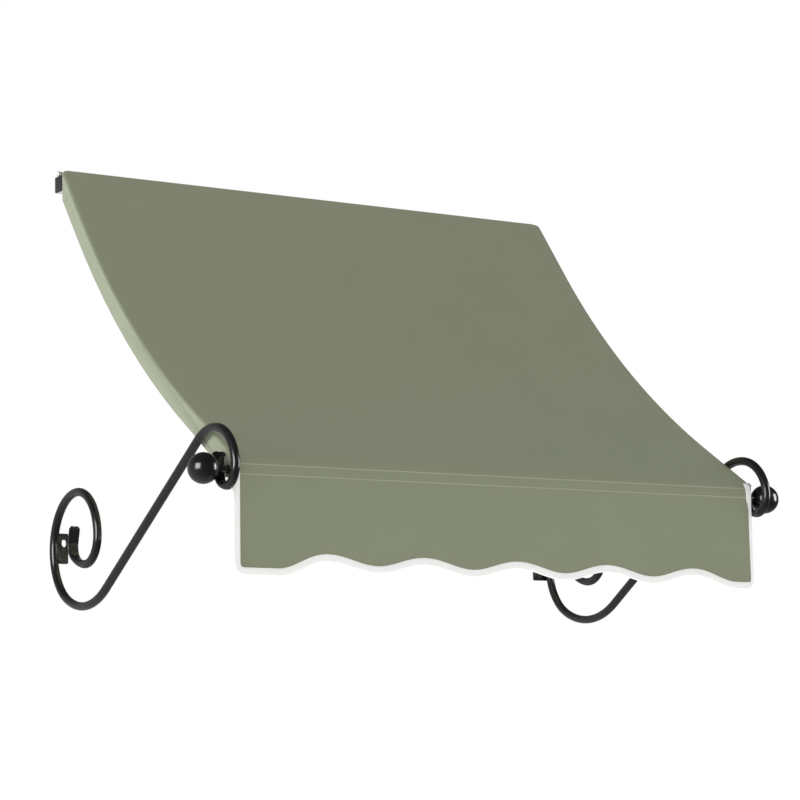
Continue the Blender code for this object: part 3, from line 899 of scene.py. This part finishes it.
@dataclass
class Cloth:
    """The canvas: one sheet from the rail's channel to the scalloped hem, with its side bands."""

    half_width: float = 0.5145
    thickness: float = 0.0012
    grip: float = 0.0032
    mouth_heading: float = 45.0
    mouth_run: float = 0.0024
    wrap_radius: float = 0.0061
    wrap_start: float = 57.0
    wrap_turn: float = 33.0
    wrap_steps: int = 8
    top_run: float = 0.0075
    top_radius: float = 0.014
    slope_top: tuple[float, float] = (-0.0335, 0.0155)
    slope_heading: float = 233.7
    slope_run: float = 0.131
    slope_radius: float = 1.67
    slope_turn: float = 20.0
    slope_end_run: float = 0.130
    nose_radius: float = 0.028
    front_top: float = -0.604
    lean: float = 0.0028
    flutter: float = 0.0011
    crest: float = -0.7315
    low: float = -0.7480
    scallops: int = 5
    first_crest: float = -0.345
    pitch: float = 0.1825
    left_foot: float = -0.757
    right_foot: float = -0.752
    hem_gap: float = 0.0008
    corner: float = 0.017
    corner_steps: int = 8
    side_steps: int = 14
    hem_step: float = 0.006
    nose_step: float = 0.003
    column_step: float = 0.005
    front_rows: int = 18
    shoulder: float = 0.011
    shoulder_start: float = 0.002
    curl_reach: float = 0.024
    stand_out: float = 0.0012
    curl: float = 0.2
    rope_turn: float = 0.008
    band_cut: float = 0.056
    band_area: float = 0.0275
    pocket_thickness: float = 0.001
    binding_top: float = -0.568
    tape_width: float = 0.0105
    tape_thickness: float = 0.0006
    tape_lift: float = 0.0006
    tape_crown: float = 0.0003
    tape_pitch: float = 0.0042
    tape_stitch: tuple[float, float, float] = (0.0011, 0.00035, 0.00025)
    tape_stitch_place: float = 0.82
    seam_heights: tuple[float, float] = (-0.5808, -0.5968)
    seam_rise: float = 0.0065
    seam_pitch: float = 0.0055
    seam_fill: float = 0.23
    seam_bead: tuple[float, float] = (0.0009, 0.0007)
    seam_reach: float = 0.4995

    def __post_init__(self) -> None:
        """Works out the sheet's outer line, from inside the channel to the top of its front."""
        channel = Vector((0.0, *CHANNEL))
        start = channel + heading_vector(self.mouth_heading) * self.grip
        line = Line(start.y, start.z, self.mouth_heading).straight(self.mouth_run, 2)
        for number in range(self.wrap_steps + 1):
            turn = self.wrap_start + self.wrap_turn * number / self.wrap_steps
            point = heading_vector(turn) * self.wrap_radius + channel
            line.goto(point.y, point.z)
        line.heading = 180.0
        line.straight(self.top_run, 2).arc(self.top_radius, self.slope_heading - 180.0, 5.0)
        line.goto(*self.slope_top)
        self.top_along = lengths_along(line.points)[-1]
        line.heading = self.slope_heading
        line.straight(self.slope_run, 8)
        line.arc(self.slope_radius, -self.slope_turn, 0.8)
        line.straight(self.slope_end_run, 8)
        self.slope_end = len(line.points) - 2
        line.arc(self.nose_radius, 270.0 - line.heading, 5.0)
        self.front_y = line.points[-1].y
        line.heading = 270.0
        line.straight(line.points[-1].z - self.front_top, 3)
        self.line = line.points

    def hem(self, x: float) -> float:
        """Finds the height of the bound hem.

        Args:
            x: the place along the wall.

        Returns:
            The height.
        """
        turn = (x - self.first_crest) / self.pitch
        low = self.low
        if turn < 0.0:
            low = self.left_foot
        elif turn > self.scallops - 1.0:
            low = self.right_foot
        turn = min(self.scallops - 0.5, max(-0.5, turn))
        return (self.crest + low) / 2 + (self.crest - low) / 2 * math.cos(math.tau * turn)

    def front(self, x: float, z: float) -> Vector:
        """Finds a point on the hanging front's outer face.

        Args:
            x: its place along the wall.
            z: its height.

        Returns:
            The point.
        """
        down = max(0.0, (self.front_top - z) / (self.front_top - self.low))
        ripple = math.cos(math.tau * (x - self.first_crest) / self.pitch)
        return Vector((x, self.front_y + self.lean * down + self.flutter * ripple * down * down, z))

    def settle(self, point: Vector) -> Vector:
        """Stands the front's right edge out a little and turns it back towards the wall.

        Args:
            point: a point of the cloth.

        Returns:
            The point, moved if it is near that edge.
        """
        fall = smooth((self.front_top + 0.02 - point.z) / 0.03)
        out = smooth((point.x - self.half_width + self.curl_reach) / self.curl_reach)
        back = max(0.0, point.x - self.half_width + self.curl_reach / 2)
        return point + Vector((self.stand_out * out, self.curl * back, 0.0)) * fall

    def rounded_hem(self, x: float) -> float:
        """Finds the height of the hem with its two lower corners rounded off.

        Args:
            x: the place along the wall.

        Returns:
            The height.
        """
        into = abs(x) - (self.half_width - self.corner)
        lift = 0.0
        if into > 0.0:
            lift = self.corner - math.sqrt(max(0.0, self.corner ** 2 - into ** 2))
        return self.hem(x) + lift

    def side_inset(self, along: float) -> float:
        """Finds how far the sheet's sides are cut back where it rounds the rail.

        Args:
            along: the distance along the sheet, from its end in the channel.

        Returns:
            How far each side is cut back.
        """
        back = min(1.0, max(0.0, (self.top_along + self.shoulder_start - along) / self.shoulder))
        return self.shoulder * (1.0 - math.sqrt(1.0 - back * back))

    def surface(self, z: float) -> tuple[Vector, Vector]:
        """Finds a place on the outer face, on the nose or below it.

        Args:
            z: its height.

        Returns:
            The point at X = 0 and the outward direction there.
        """
        for before, after in zip(self.line[self.slope_end:], self.line[self.slope_end + 1:]):
            if after.z <= z <= before.z:
                step = (after - before).normalized()
                point = before.lerp(after, (before.z - z) / (before.z - after.z))
                return point, Vector((0.0, step.z, -step.y))
        return Vector((0.0, self.front_y, z)), TO_STREET

    def build(self) -> None:
        """Makes the canopy, its bands, the bar's pocket, the binding and the stitching."""
        self.build_canopy()
        for side in Side:
            self.build_band(side)
        self.build_pocket()
        self.build_binding()
        self.build_seams()

    def edge_line(self) -> list[tuple[Vector, Vector]]:
        """Follows the bound edge down the left side, along the hem and up the right side.

        Returns:
            Its points, each with the outward direction.
        """
        edge = self.half_width - FINE_RIM
        side = []
        top = self.binding_top
        while top > self.front_top:
            point, normal = self.surface(top)
            side.append((Vector((edge, point.y, top)), normal))
            top -= self.nose_step
        foot = self.hem(edge) + self.corner
        for step in range(self.side_steps + 1):
            z = self.front_top + (foot - self.front_top) * step / self.side_steps
            side.append((self.front(edge, z), TO_STREET))
        for step in range(1, self.corner_steps + 1):
            turn = math.radians(90.0 * step / self.corner_steps)
            x = edge - self.corner * (1.0 - math.cos(turn))
            z = self.hem(edge) + self.corner * (1.0 - math.sin(turn))
            side.append((self.front(x, z), TO_STREET))
        left = [(Vector((-point.x, point.y, point.z)), normal) for point, normal in side]
        drop = self.hem(-edge) - self.hem(edge)
        for point, _ in left:
            point.z += drop * smooth((self.front_top - point.z) / (self.front_top - foot))
        reach = edge - self.corner
        count = round(2 * reach / self.hem_step)
        hem = []
        for step in range(1, count):
            x = reach * (2.0 * step / count - 1.0)
            hem.append((self.front(x, self.hem(x)), TO_STREET))
        return [(self.settle(point), normal) for point, normal in left + hem + side[::-1]]

    def build_pocket(self) -> None:
        """Makes the sleeve sewn behind the canopy's front, round the bar."""
        sleeve = tube("bar_pocket", self.pocket_thickness)
        # The pocket takes the canvas copy that carries the painted side-light tint.
        pocket = add_piece("bar_pocket_cloth", sleeve, SIDE_LIGHT_TINTED_CANVAS, ["bar_pocket"])

    def tape_section(self) -> list[tuple[float, float]]:
        """Draws the folded tape's section.

        Returns:
            Its points, as the distance in from the edge and the distance out from the cloth's face.
        """
        front, back = self.tape_lift, -self.thickness - self.tape_lift
        middle, radius = (front + back) / 2, (front - back) / 2
        section = []
        for share in (1.0, 0.93, 0.8, 0.6, 0.4, 0.2, 0.08):
            crown = self.tape_crown * math.sin(math.pi * share)
            section.append((self.tape_width * share, front + crown))
        for degrees in range(90, 271, 30):
            turn = math.radians(degrees)
            section.append((radius * math.cos(turn) * 0.9, middle + radius * math.sin(turn)))
        return section + [(self.tape_width * share, back) for share in (0.3, 0.6, 1.0)]

    def build_binding(self) -> None:
        """Folds the tape over the hanging front's edge, and sews it on."""
        edge = self.edge_line()
        points = [point for point, _ in edge]
        ways = tangents(points)
        along = lengths_along(points)
        section = self.tape_section()
        across = lengths_along([Vector((into, out, 0.0)) for into, out in section])

        def place(column: int, row: int) -> Vector:
            """A point on the folded tape.

            Args:
                column: its column.
                row: its row.

            Returns:
                The place.
            """
            normal = edge[row][1]
            inward = normal.cross(ways[row]).normalized()
            into, out = section[column]
            return points[row] + inward * into + normal * out

        def cut(column: int, row: int) -> Vector:
            """A point's place on the flat tape.

            Args:
                column: its column.
                row: its row.

            Returns:
                The place, in metres.
            """
            return Vector((across[column], along[row], 0.0))

        bm = cloth_grid(len(section), len(edge), place, cut)
        bmesh.ops.recalc_face_normals(bm, faces=bm.faces[:])
        tape = add_piece("hem_tape", bm, TAPE, ["hem_binding"], 60.0)
        add_thickness(tape, self.tape_thickness, 0.0)

        stitches = bmesh.new()
        size = Vector(self.tape_stitch)
        row = 0
        for number in range(1, int(along[-1] / self.tape_pitch)):
            reached = number * self.tape_pitch
            while along[row + 1] < reached:
                row += 1
            share = (reached - along[row]) / (along[row + 1] - along[row])
            normal = edge[row][1]
            way = ways[row].lerp(ways[row + 1], share).normalized()
            inward = normal.cross(way) * self.tape_width * self.tape_stitch_place
            outward = normal * (self.tape_lift + 0.0005)
            bead(stitches, points[row].lerp(points[row + 1], share) + inward + outward, way, normal, size)
        add_piece("hem_tape_stitches", stitches, TAPE_THREAD, smooth_angle=80.0)

    def build_seams(self) -> None:
        """Sews the pocket on with two rows of stitches."""
        stitches = bmesh.new()
        size = Vector((self.seam_pitch * self.seam_fill, *self.seam_bead))
        count = round(2 * self.seam_reach / self.seam_pitch)
        for height in self.seam_heights:
            for number in range(count + 1):
                x = self.seam_reach * (2.0 * number / count - 1.0)
                point, normal = self.surface(height + self.seam_rise * x)
                place = Vector((x, point.y, point.z)) + normal * 0.0001
                bead(stitches, place, ALONG_WALL, normal, size)
        add_piece("pocket_stitches", stitches, SEAM_THREAD, smooth_angle=80.0)

    def build_canopy(self) -> None:
        """Lays the sheet over its line, and brings its lowest rows down to the scalloped hem."""
        edge = self.half_width - FINE_RIM
        columns = round(2 * edge / self.column_step) + 1
        rows = len(self.line) + self.front_rows
        along = lengths_along(self.line)

        def across(column: int, row: int) -> float:
            """A point's place along the wall."""
            inset = self.side_inset(along[row]) if row < len(along) else 0.0
            return (edge - inset) * (2.0 * column / (columns - 1) - 1.0)

        def place(column: int, row: int) -> Vector:
            """A point's place on the slope, or on the hanging front below it.

            Args:
                column: its column.
                row: its row.

            Returns:
                The place.
            """
            x = across(column, row)
            if row < len(self.line):
                return self.settle(Vector((x, self.line[row].y, self.line[row].z)))
            share = (row - len(self.line) + 1) / self.front_rows
            hem = self.rounded_hem(x) + self.hem_gap
            return self.settle(self.front(x, self.front_top + (hem - self.front_top) * share))

        def cut(column: int, row: int) -> Vector:
            """A point's place on the flat cloth.

            Args:
                column: its column.
                row: its row.

            Returns:
                The place, in metres.
            """
            if row < len(self.line):
                return Vector((across(column, row), along[row], 0.0))
            down = self.front_top - place(column, row).z
            return Vector((across(column, row), along[-1] + down, 0.0))

        bm = cloth_grid(columns, rows, place, cut)
        bmesh.ops.recalc_face_normals(bm, faces=bm.faces[:])
        bm.faces.ensure_lookup_table()
        if bm.faces[len(bm.faces) // 2].normal.y > 0.0:
            bmesh.ops.reverse_faces(bm, faces=bm.faces[:])
        canopy = add_piece("canopy_cloth", bm, CANVAS, ["canopy"], 60.0)
        add_thickness(canopy, self.thickness)

    def build_band(self, side: Side) -> None:
        """Makes one side band: the strip that closes the side under the canopy's edge.

        Args:
            side: the side.
        """
        node = f"side_band_{side.label}"
        strip = cad_copy(node, 0.0003, 1)
        # The band takes the canvas copy whose bluer tint is painted side light.
        band = add_piece(f"side_band_cloth_{side.label}", strip, SIDE_LIGHT_TINTED_CANVAS, [node], 40.0)


@dataclass
class HeadRail:
    """The extruded rail on the wall, with its end caps and the cloth's rope in its channel."""

    ease: float = 0.0004
    lip_length: float = 0.0033
    lip_steps: int = 40
    outer: float = 0.0052
    bore: float = 0.0031
    mouth: float = 45.0
    mouth_width: float = 46.0
    rope: float = 0.0026
    rope_end: float = 0.0062
    strands: int = 3
    lay: float = 0.012
    rope_step: float = 0.002

    def build(self) -> None:
        """Makes the rail, its caps, its channel's ends and the rope."""
        rail = cad_copy("head_rail", self.ease)
        for side in Side:
            self.add_lip(rail, side)
            cap = f"rail_cap_{side.label}"
            add_piece(f"{cap}_shell", cad_copy(cap, 0.0007, 3), PLASTIC, [cap])
        add_piece("head_rail_extrusion", rail, ALUMINIUM, ["head_rail"])
        self.build_rope()

    def add_lip(self, bm: bmesh.types.BMesh, side: Side) -> None:
        """Carries the channel's ring out past the rail's end, flush with the cap.

        Args:
            bm: the rail's mesh, which is added to.
            side: which end.
        """
        low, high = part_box("head_rail")
        start = high.x if side is Side.RIGHT else low.x
        centre = Vector((start, *CHANNEL))
        first, sweep = self.mouth + self.mouth_width / 2, 360.0 - self.mouth_width
        turns = [first + sweep * step / self.lip_steps for step in range(self.lip_steps + 1)]
        spokes = [heading_vector(turn) for turn in turns]
        ring = [centre + spoke * self.outer for spoke in spokes]
        ring += [centre + spoke * self.bore for spoke in reversed(spokes)]
        face = bm.faces.new([bm.verts.new(point) for point in ring])
        made = bmesh.ops.extrude_face_region(bm, geom=[face])["geom"]
        verts = [item for item in made if isinstance(item, bmesh.types.BMVert)]
        bmesh.ops.translate(bm, verts=verts, vec=(side.value * self.lip_length, 0.0, 0.0))
        faces = [item for vert in verts for item in vert.link_faces] + [face]
        bmesh.ops.recalc_face_normals(bm, faces=list(set(faces)))

    def build_rope(self) -> None:
        """Lays the twisted rope along the channel."""
        low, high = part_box("keder_rope")
        low.x -= self.rope_end
        high.x += self.rope_end
        count = round((high.x - low.x) / self.rope_step)
        bm = bmesh.new()
        rings = []
        for number in range(count + 1):
            x = low.x + (high.x - low.x) * number / count
            ring, edges = add_ring(bm, 12, self.rope, number in (0, count))
            rings.append(edges)
            for vert in ring:
                turn = math.atan2(vert.co.y, vert.co.x)
                wave = abs(math.cos(self.strands / 2 * (turn + math.tau * x / self.lay / self.strands)))
                radius = self.rope * (0.84 + 0.16 * wave)
                across, up = radius * math.cos(turn), radius * math.sin(turn)
                vert.co = Vector((x, CHANNEL[0] + across, CHANNEL[1] + up))
        join_rings(bm, rings)
        add_piece("keder_rope_strands", bm, ROPE, ["keder_rope"], 60.0)


@dataclass
class Bar:
    """The front bar with, at each end, its plug, stud, bush, washer and ball."""

    wall: float = 0.002
    ball: float = 0.025
    ball_flat: float = 0.0135
    bore: float = 0.0043
    bore_depth: float = 0.020
    bore_lip: float = 0.0006
    ball_steps: int = 60

    def build(self) -> None:
        """Makes the bar and the stack at each of its ends."""
        bar = tube("front_bar", self.wall)
        ease_edges(bar, 0.0003)
        add_piece("front_bar_tube", bar, ALUMINIUM, ["front_bar"])
        for side in Side:
            self.build_ball(side)
            for node, finish, ease in (
                ("bar_plug", PLASTIC, 0.0005), ("finial_stud", ZINC, 0.0005),
                ("arm_bush", ENAMEL, 0.0006), ("ball_washer", ENAMEL, 0.0004),
            ):
                label = f"{node}_{side.label}"
                add_piece(f"{label}_turned", cad_copy(label, ease), finish, [label])

    def build_ball(self, side: Side) -> None:
        """Turns one ball, flat and bored on the side that faces the awning.

        Args:
            side: which end of the bar it is on.
        """
        label = f"ball_finial_{side.label}"
        low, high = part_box(label)
        bar_low, bar_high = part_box("front_bar")
        flat = low.x if side is Side.RIGHT else high.x
        start = Vector((flat, (bar_low.y + bar_high.y) / 2, (bar_low.z + bar_high.z) / 2))
        middle = math.sqrt(self.ball ** 2 - self.ball_flat ** 2)
        profile = [
            (self.bore_depth, 0.0), (self.bore_depth, self.bore), (self.bore_lip, self.bore),
            (0.0, self.bore + self.bore_lip),
        ]
        first = 180.0 - math.degrees(math.asin(self.ball_flat / self.ball))
        for step in range(self.ball_steps + 1):
            spoke = math.radians(first * (1.0 - step / self.ball_steps))
            profile.append((middle + self.ball * math.cos(spoke), self.ball * math.sin(spoke)))
        bm = turned(profile, start, ALONG_WALL * side.value, 96)
        add_piece(f"{label}_round", bm, ENAMEL, [label])


@dataclass
class ScrollArm:
    """One scrolled arm, a round rod flattened to a ribbon at both ends, with its plate and welds."""

    side: Side
    arm_x: float = 0.526
    rod: float = 0.0073
    ribbon_width: float = 0.019
    ribbon_depth: float = 0.0045
    limb: tuple[float, float] = (-0.0128, -0.658)
    wall_turns: tuple[tuple[float, float], ...] = ((0.0925, 90.0), (0.0825, 90.0), (0.045, 90.0))
    wall_run: float = 0.027
    wall_curl: tuple[tuple[float, float], ...] = ((0.070, 35.0), (0.028, 70.0))
    foot_turns: tuple[tuple[float, float], ...] = ((0.100, -62.0), (0.155, -59.4))
    diagonal: float = 0.396
    front_turns: tuple[tuple[float, float], ...] = ((0.090, 43.0), (0.073, 68.0), (0.033, 70.0))
    front_run: float = 0.031
    front_curl: tuple[float, float] = (0.0255, 120.4)
    wall_width: float = 0.0200
    flare: float = 0.0032
    flare_length: float = 0.009
    thinning: float = 0.0004
    lobe: float = 0.0008
    corner: float = 0.0038
    turn_step: float = 2.5
    weld_inset: float = 0.006
    weld_sink: float = 0.0004
    weld_steps: int = 90
    weld_size: tuple[float, float] = (0.0027, 0.0026)
    weld_ripple: float = 0.16
    weld_pitch: float = 0.0034

    def build(self) -> None:
        """Makes the arm, its wall plate and the weld between them."""
        wall = Line(*self.limb, 90.0).arcs(self.wall_turns + self.wall_curl, self.turn_step)
        wall.straight(self.wall_run, 10)
        front = Line(*self.limb, -90.0).arcs(self.foot_turns, self.turn_step)
        front.straight(self.diagonal, 16).arcs((*self.front_turns, self.front_curl), self.turn_step)
        front.straight(self.front_run, 10)
        points = wall.points[::-1] + front.points[1:]
        total = lengths_along(points)[-1]
        wall_curl = sum(radius * math.radians(turn) for radius, turn in self.wall_curl)
        front_curl = self.front_curl[0] * math.radians(self.front_curl[1])

        def section(distance: float) -> tuple[float, float, float]:
            """The rod's half width, half depth and squareness at a distance along it.

            Args:
                distance: how far along the line.

            Returns:
                The half width, the half depth and the squareness.
            """
            left = total - distance
            flat = 1.0 - min(smooth((distance - self.wall_run) / wall_curl),
                             smooth((left - self.front_run) / front_curl))
            spread = smooth(1.0 - left / self.flare_length)
            width = self.wall_width if distance < left else self.ribbon_width
            half_width = self.rod + (width / 2 - self.rod) * flat + self.flare * spread
            thinned = smooth(1.0 - min(distance, left) / self.flare_length)
            half_depth = self.rod + (self.ribbon_depth / 2 - self.rod) * flat - self.thinning * thinned
            return half_width, half_depth, 1.0 - 0.5 * flat

        def tips(across: float) -> float:
            """A hammered end with two low lobes and rounded corners.

            Args:
                across: the place across the end, from -1 to 1.

            Returns:
                How far it stands out.
            """
            across = abs(across)
            lobes = self.lobe * (1.0 - math.cos(math.tau * across)) / 2.0
            return lobes - self.corner * smooth((across - 0.55) / 0.45)

        bm = swept(points, section, tips=tips)
        ease_edges(bm, 0.0005, 2, 60.0)
        bmesh.ops.translate(bm, verts=bm.verts[:], vec=(self.side.value * self.arm_x, 0.0, 0.0))
        arm = f"scroll_arm_{self.side.label}"
        add_piece(f"{arm}_rod", bm, ENAMEL, [arm])
        self.build_plate()

    def build_plate(self) -> None:
        """Makes the wall plate and the weld bead that holds the arm on it."""
        plate = f"wall_plate_{self.side.label}"
        add_piece(f"{plate}_flat", cad_copy(plate, 0.0006, 2), ENAMEL, [plate])
        low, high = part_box(plate)
        start = Vector((0.0, low.y - self.weld_sink, low.z + self.weld_inset))
        length = high.z - low.z - 2 * self.weld_inset
        steps = range(self.weld_steps + 1)
        points = [start + Vector((0.0, 0.0, length * step / self.weld_steps)) for step in steps]

        def section(distance: float) -> tuple[float, float, float]:
            """A bead with the ripples that a hand-held torch leaves.

            Args:
                distance: how far along the line.

            Returns:
                The half width, the half depth and the squareness.
            """
            swell = 1.0 + self.weld_ripple * math.sin(math.tau * distance / self.weld_pitch)
            taper = math.sqrt(max(0.02, 1.0 - (2.0 * distance / length - 1.0) ** 8))
            half_width, half_depth = (size * swell * taper for size in self.weld_size)
            return half_width, half_depth, 1.0

        bm = swept(points, section, 12)
        inboard = self.side.value * (self.arm_x - self.rod * 0.86)
        bmesh.ops.translate(bm, verts=bm.verts[:], vec=(inboard, 0.0, 0.0))
        add_piece(f"arm_weld_{self.side.label}", bm, ENAMEL, smooth_angle=60.0)


@dataclass
class SideRib:
    """One curved rib under the side of the cloth, with the screw that holds it on the rail."""

    side: Side
    ease: float = 0.0004

    def build(self) -> None:
        """Makes the rib and its screw."""
        rib = f"side_rib_{self.side.label}"
        add_piece(f"{rib}_bar", cad_copy(rib, self.ease), ALUMINIUM, [rib])
        screw = f"rib_screw_{self.side.label}"
        low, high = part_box(screw)
        centre = Vector(((low.x + high.x) / 2, low.y, (low.z + high.z) / 2))
        head, shank, length = (high.x - low.x) / 2, 0.0024, high.y - low.y
        # The recess, the domed head, the shank and its blunt point.
        profile = [
            (0.0013, 0.0), (0.0013, 0.0015), (0.0, 0.0018), (0.0001, 0.0028), (0.0009, head - 0.0006),
            (0.0017, head), (0.0028, head), (0.0028, shank), (length - 0.001, shank),
            (length, shank - 0.001), (length, 0.0),
        ]
        add_piece(f"{screw}_pan", turned(profile, centre, Vector((0.0, 1.0, 0.0)), 40), ZINC, [screw])


@dataclass
class Studio:
    """Floor, lights, surroundings and camera."""

    floor_z: float = -2.2
    floor_radius: float = 30.0
    floor_shade: float = 0.86
    camera_place: tuple[float, float, float] = (-2.5882, -4.4697, -1.1811)
    yaw: float = 31.969
    pitch: float = 9.040
    roll: float = -1.4
    lens: float = 126.24
    sensor: float = 36.0
    far: float = 200.0
    ambient: float = 0.80
    bright_side: tuple[float, float, float] = (-0.25, 0.75, -0.61)
    mirror_dark: float = 0.05
    mirror_bright: float = 0.4

    def build(self) -> None:
        """Sets the scene round the awning."""
        self.build_floor()
        self.build_surroundings()
        self.build_lights()
        self.build_camera()

    def build_floor(self) -> None:
        """Lays a wide pale floor below the awning."""
        bm = bmesh.new()
        place = Matrix.Translation((0.0, 0.0, self.floor_z))
        bmesh.ops.create_circle(bm, cap_ends=True, segments=64, radius=self.floor_radius, matrix=place)
        mesh = bpy.data.meshes.new("floor")
        bm.to_mesh(mesh)
        bm.free()
        material = bpy.data.materials.new("pale_floor")
        material.use_nodes = True
        shader = material.node_tree.nodes["Principled BSDF"]
        inputs = {"Base Color": rgba((self.floor_shade,) * 3), "Roughness": 0.9}
        Nodes(material.node_tree).feed(shader, inputs)
        mesh.materials.append(material)
        floor = bpy.data.objects.new("floor", mesh)
        bpy.context.scene.collection.objects.link(floor)
        floor.visible_glossy = False

    def build_surroundings(self) -> None:
        """Fills the surroundings with soft white light, dimmer where gloss mirrors it."""
        world = bpy.data.worlds.new("studio")
        world.use_nodes = True
        bpy.context.scene.world = world
        nodes = Nodes(world.node_tree)
        paths = nodes.add("ShaderNodeLightPath").outputs
        way = nodes.add("ShaderNodeTexCoord").outputs["Generated"]
        behind = nodes.add("ShaderNodeVectorMath", {0: way, 1: self.bright_side}, operation="DOT_PRODUCT")
        gloss = nodes.span(behind.outputs["Value"], -0.1, 0.9, self.mirror_dark, self.mirror_bright)
        mirrored = nodes.add("ShaderNodeCombineColor", {0: gloss, 1: gloss, 2: gloss}).outputs[0]
        dim = nodes.mix(paths["Is Glossy Ray"], rgba((self.ambient,) * 3), mirrored)
        shown = nodes.mix(paths["Is Camera Ray"], dim, rgba((1.0, 1.0, 1.0)))
        nodes.feed(world.node_tree.nodes["Background"], {"Color": shown, "Strength": 1.0})

    def build_lights(self) -> None:
        """Hangs the soft boxes that light the cloth, then the two that only the gloss mirrors."""
        matt, gloss = (True, False), (False, True)
        self.soft_box("left_box", (-4.0, -0.35, -0.2), (0.0, -0.3, -0.35), (1.6, 2.2), 100.5, matt)
        self.soft_box("low_box", (1.2, -4.2, -2.0), (0.0, -0.5, -0.5), (1.6, 1.0), 12.5, matt)
        self.soft_box("back_box", (0.0, 2.4, 1.50), (0.0, 0.0, 0.0), (2.4, 0.7), 360.0, matt)
        self.soft_box("left_glint", (-3.3, -1.74, -0.06), (-0.56, -0.63, -0.59), (1.9, 1.9), 100.0, gloss)
        self.soft_box("right_glint", (3.1, -2.1, -0.05), (0.56, -0.63, -0.59), (1.3, 1.9), 80.0, gloss)

    @staticmethod
    def soft_box(
        name: str, place: tuple[float, float, float], aim: tuple[float, float, float],
        size: tuple[float, float], power: float, reaches: tuple[bool, bool],
    ) -> None:
        """Hangs one rectangular light.

        Args:
            name: the light's name.
            place: where it hangs.
            aim: the point that it faces.
            size: its width and height.
            power: its power in watts.
            reaches: whether it lights matt surfaces, and whether gloss mirrors it.
        """
        light = bpy.data.lights.new(name, "AREA")
        light.shape = "RECTANGLE"
        light.size, light.size_y = size
        light.energy = power
        lamp = bpy.data.objects.new(name, light)
        lamp.location = place
        lamp.visible_diffuse, lamp.visible_glossy = reaches
        lamp.rotation_euler = (Vector(aim) - Vector(place)).to_track_quat("-Z", "Y").to_euler()
        bpy.context.scene.collection.objects.link(lamp)

    def build_camera(self) -> None:
        """Places the camera low and to the left, looking up."""
        camera = bpy.data.cameras.new("camera")
        camera.lens = self.lens
        camera.sensor_width = self.sensor
        camera.clip_end = self.far
        eye = bpy.data.objects.new("camera", camera)
        yaw, pitch, roll = (math.radians(angle) for angle in (self.yaw, self.pitch, self.roll))
        turn = Euler((math.pi / 2 + pitch, 0.0, -yaw)).to_matrix() @ Matrix.Rotation(roll, 3, "Z")
        eye.rotation_euler = turn.to_euler()
        eye.location = self.camera_place
        bpy.context.scene.collection.objects.link(eye)
        bpy.context.scene.camera = eye


def main() -> None:
    """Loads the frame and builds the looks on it."""
    logging.basicConfig(level=logging.INFO, format="%(name)s: %(message)s")
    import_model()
    Studio().build()
    HeadRail().build()
    Cloth().build()
    Bar().build()
    for side in Side:
        SideRib(side).build()
        ScrollArm(side).build()
    bpy.context.scene.view_settings.view_transform = "Standard"


if __name__ == "__main__":
    main()
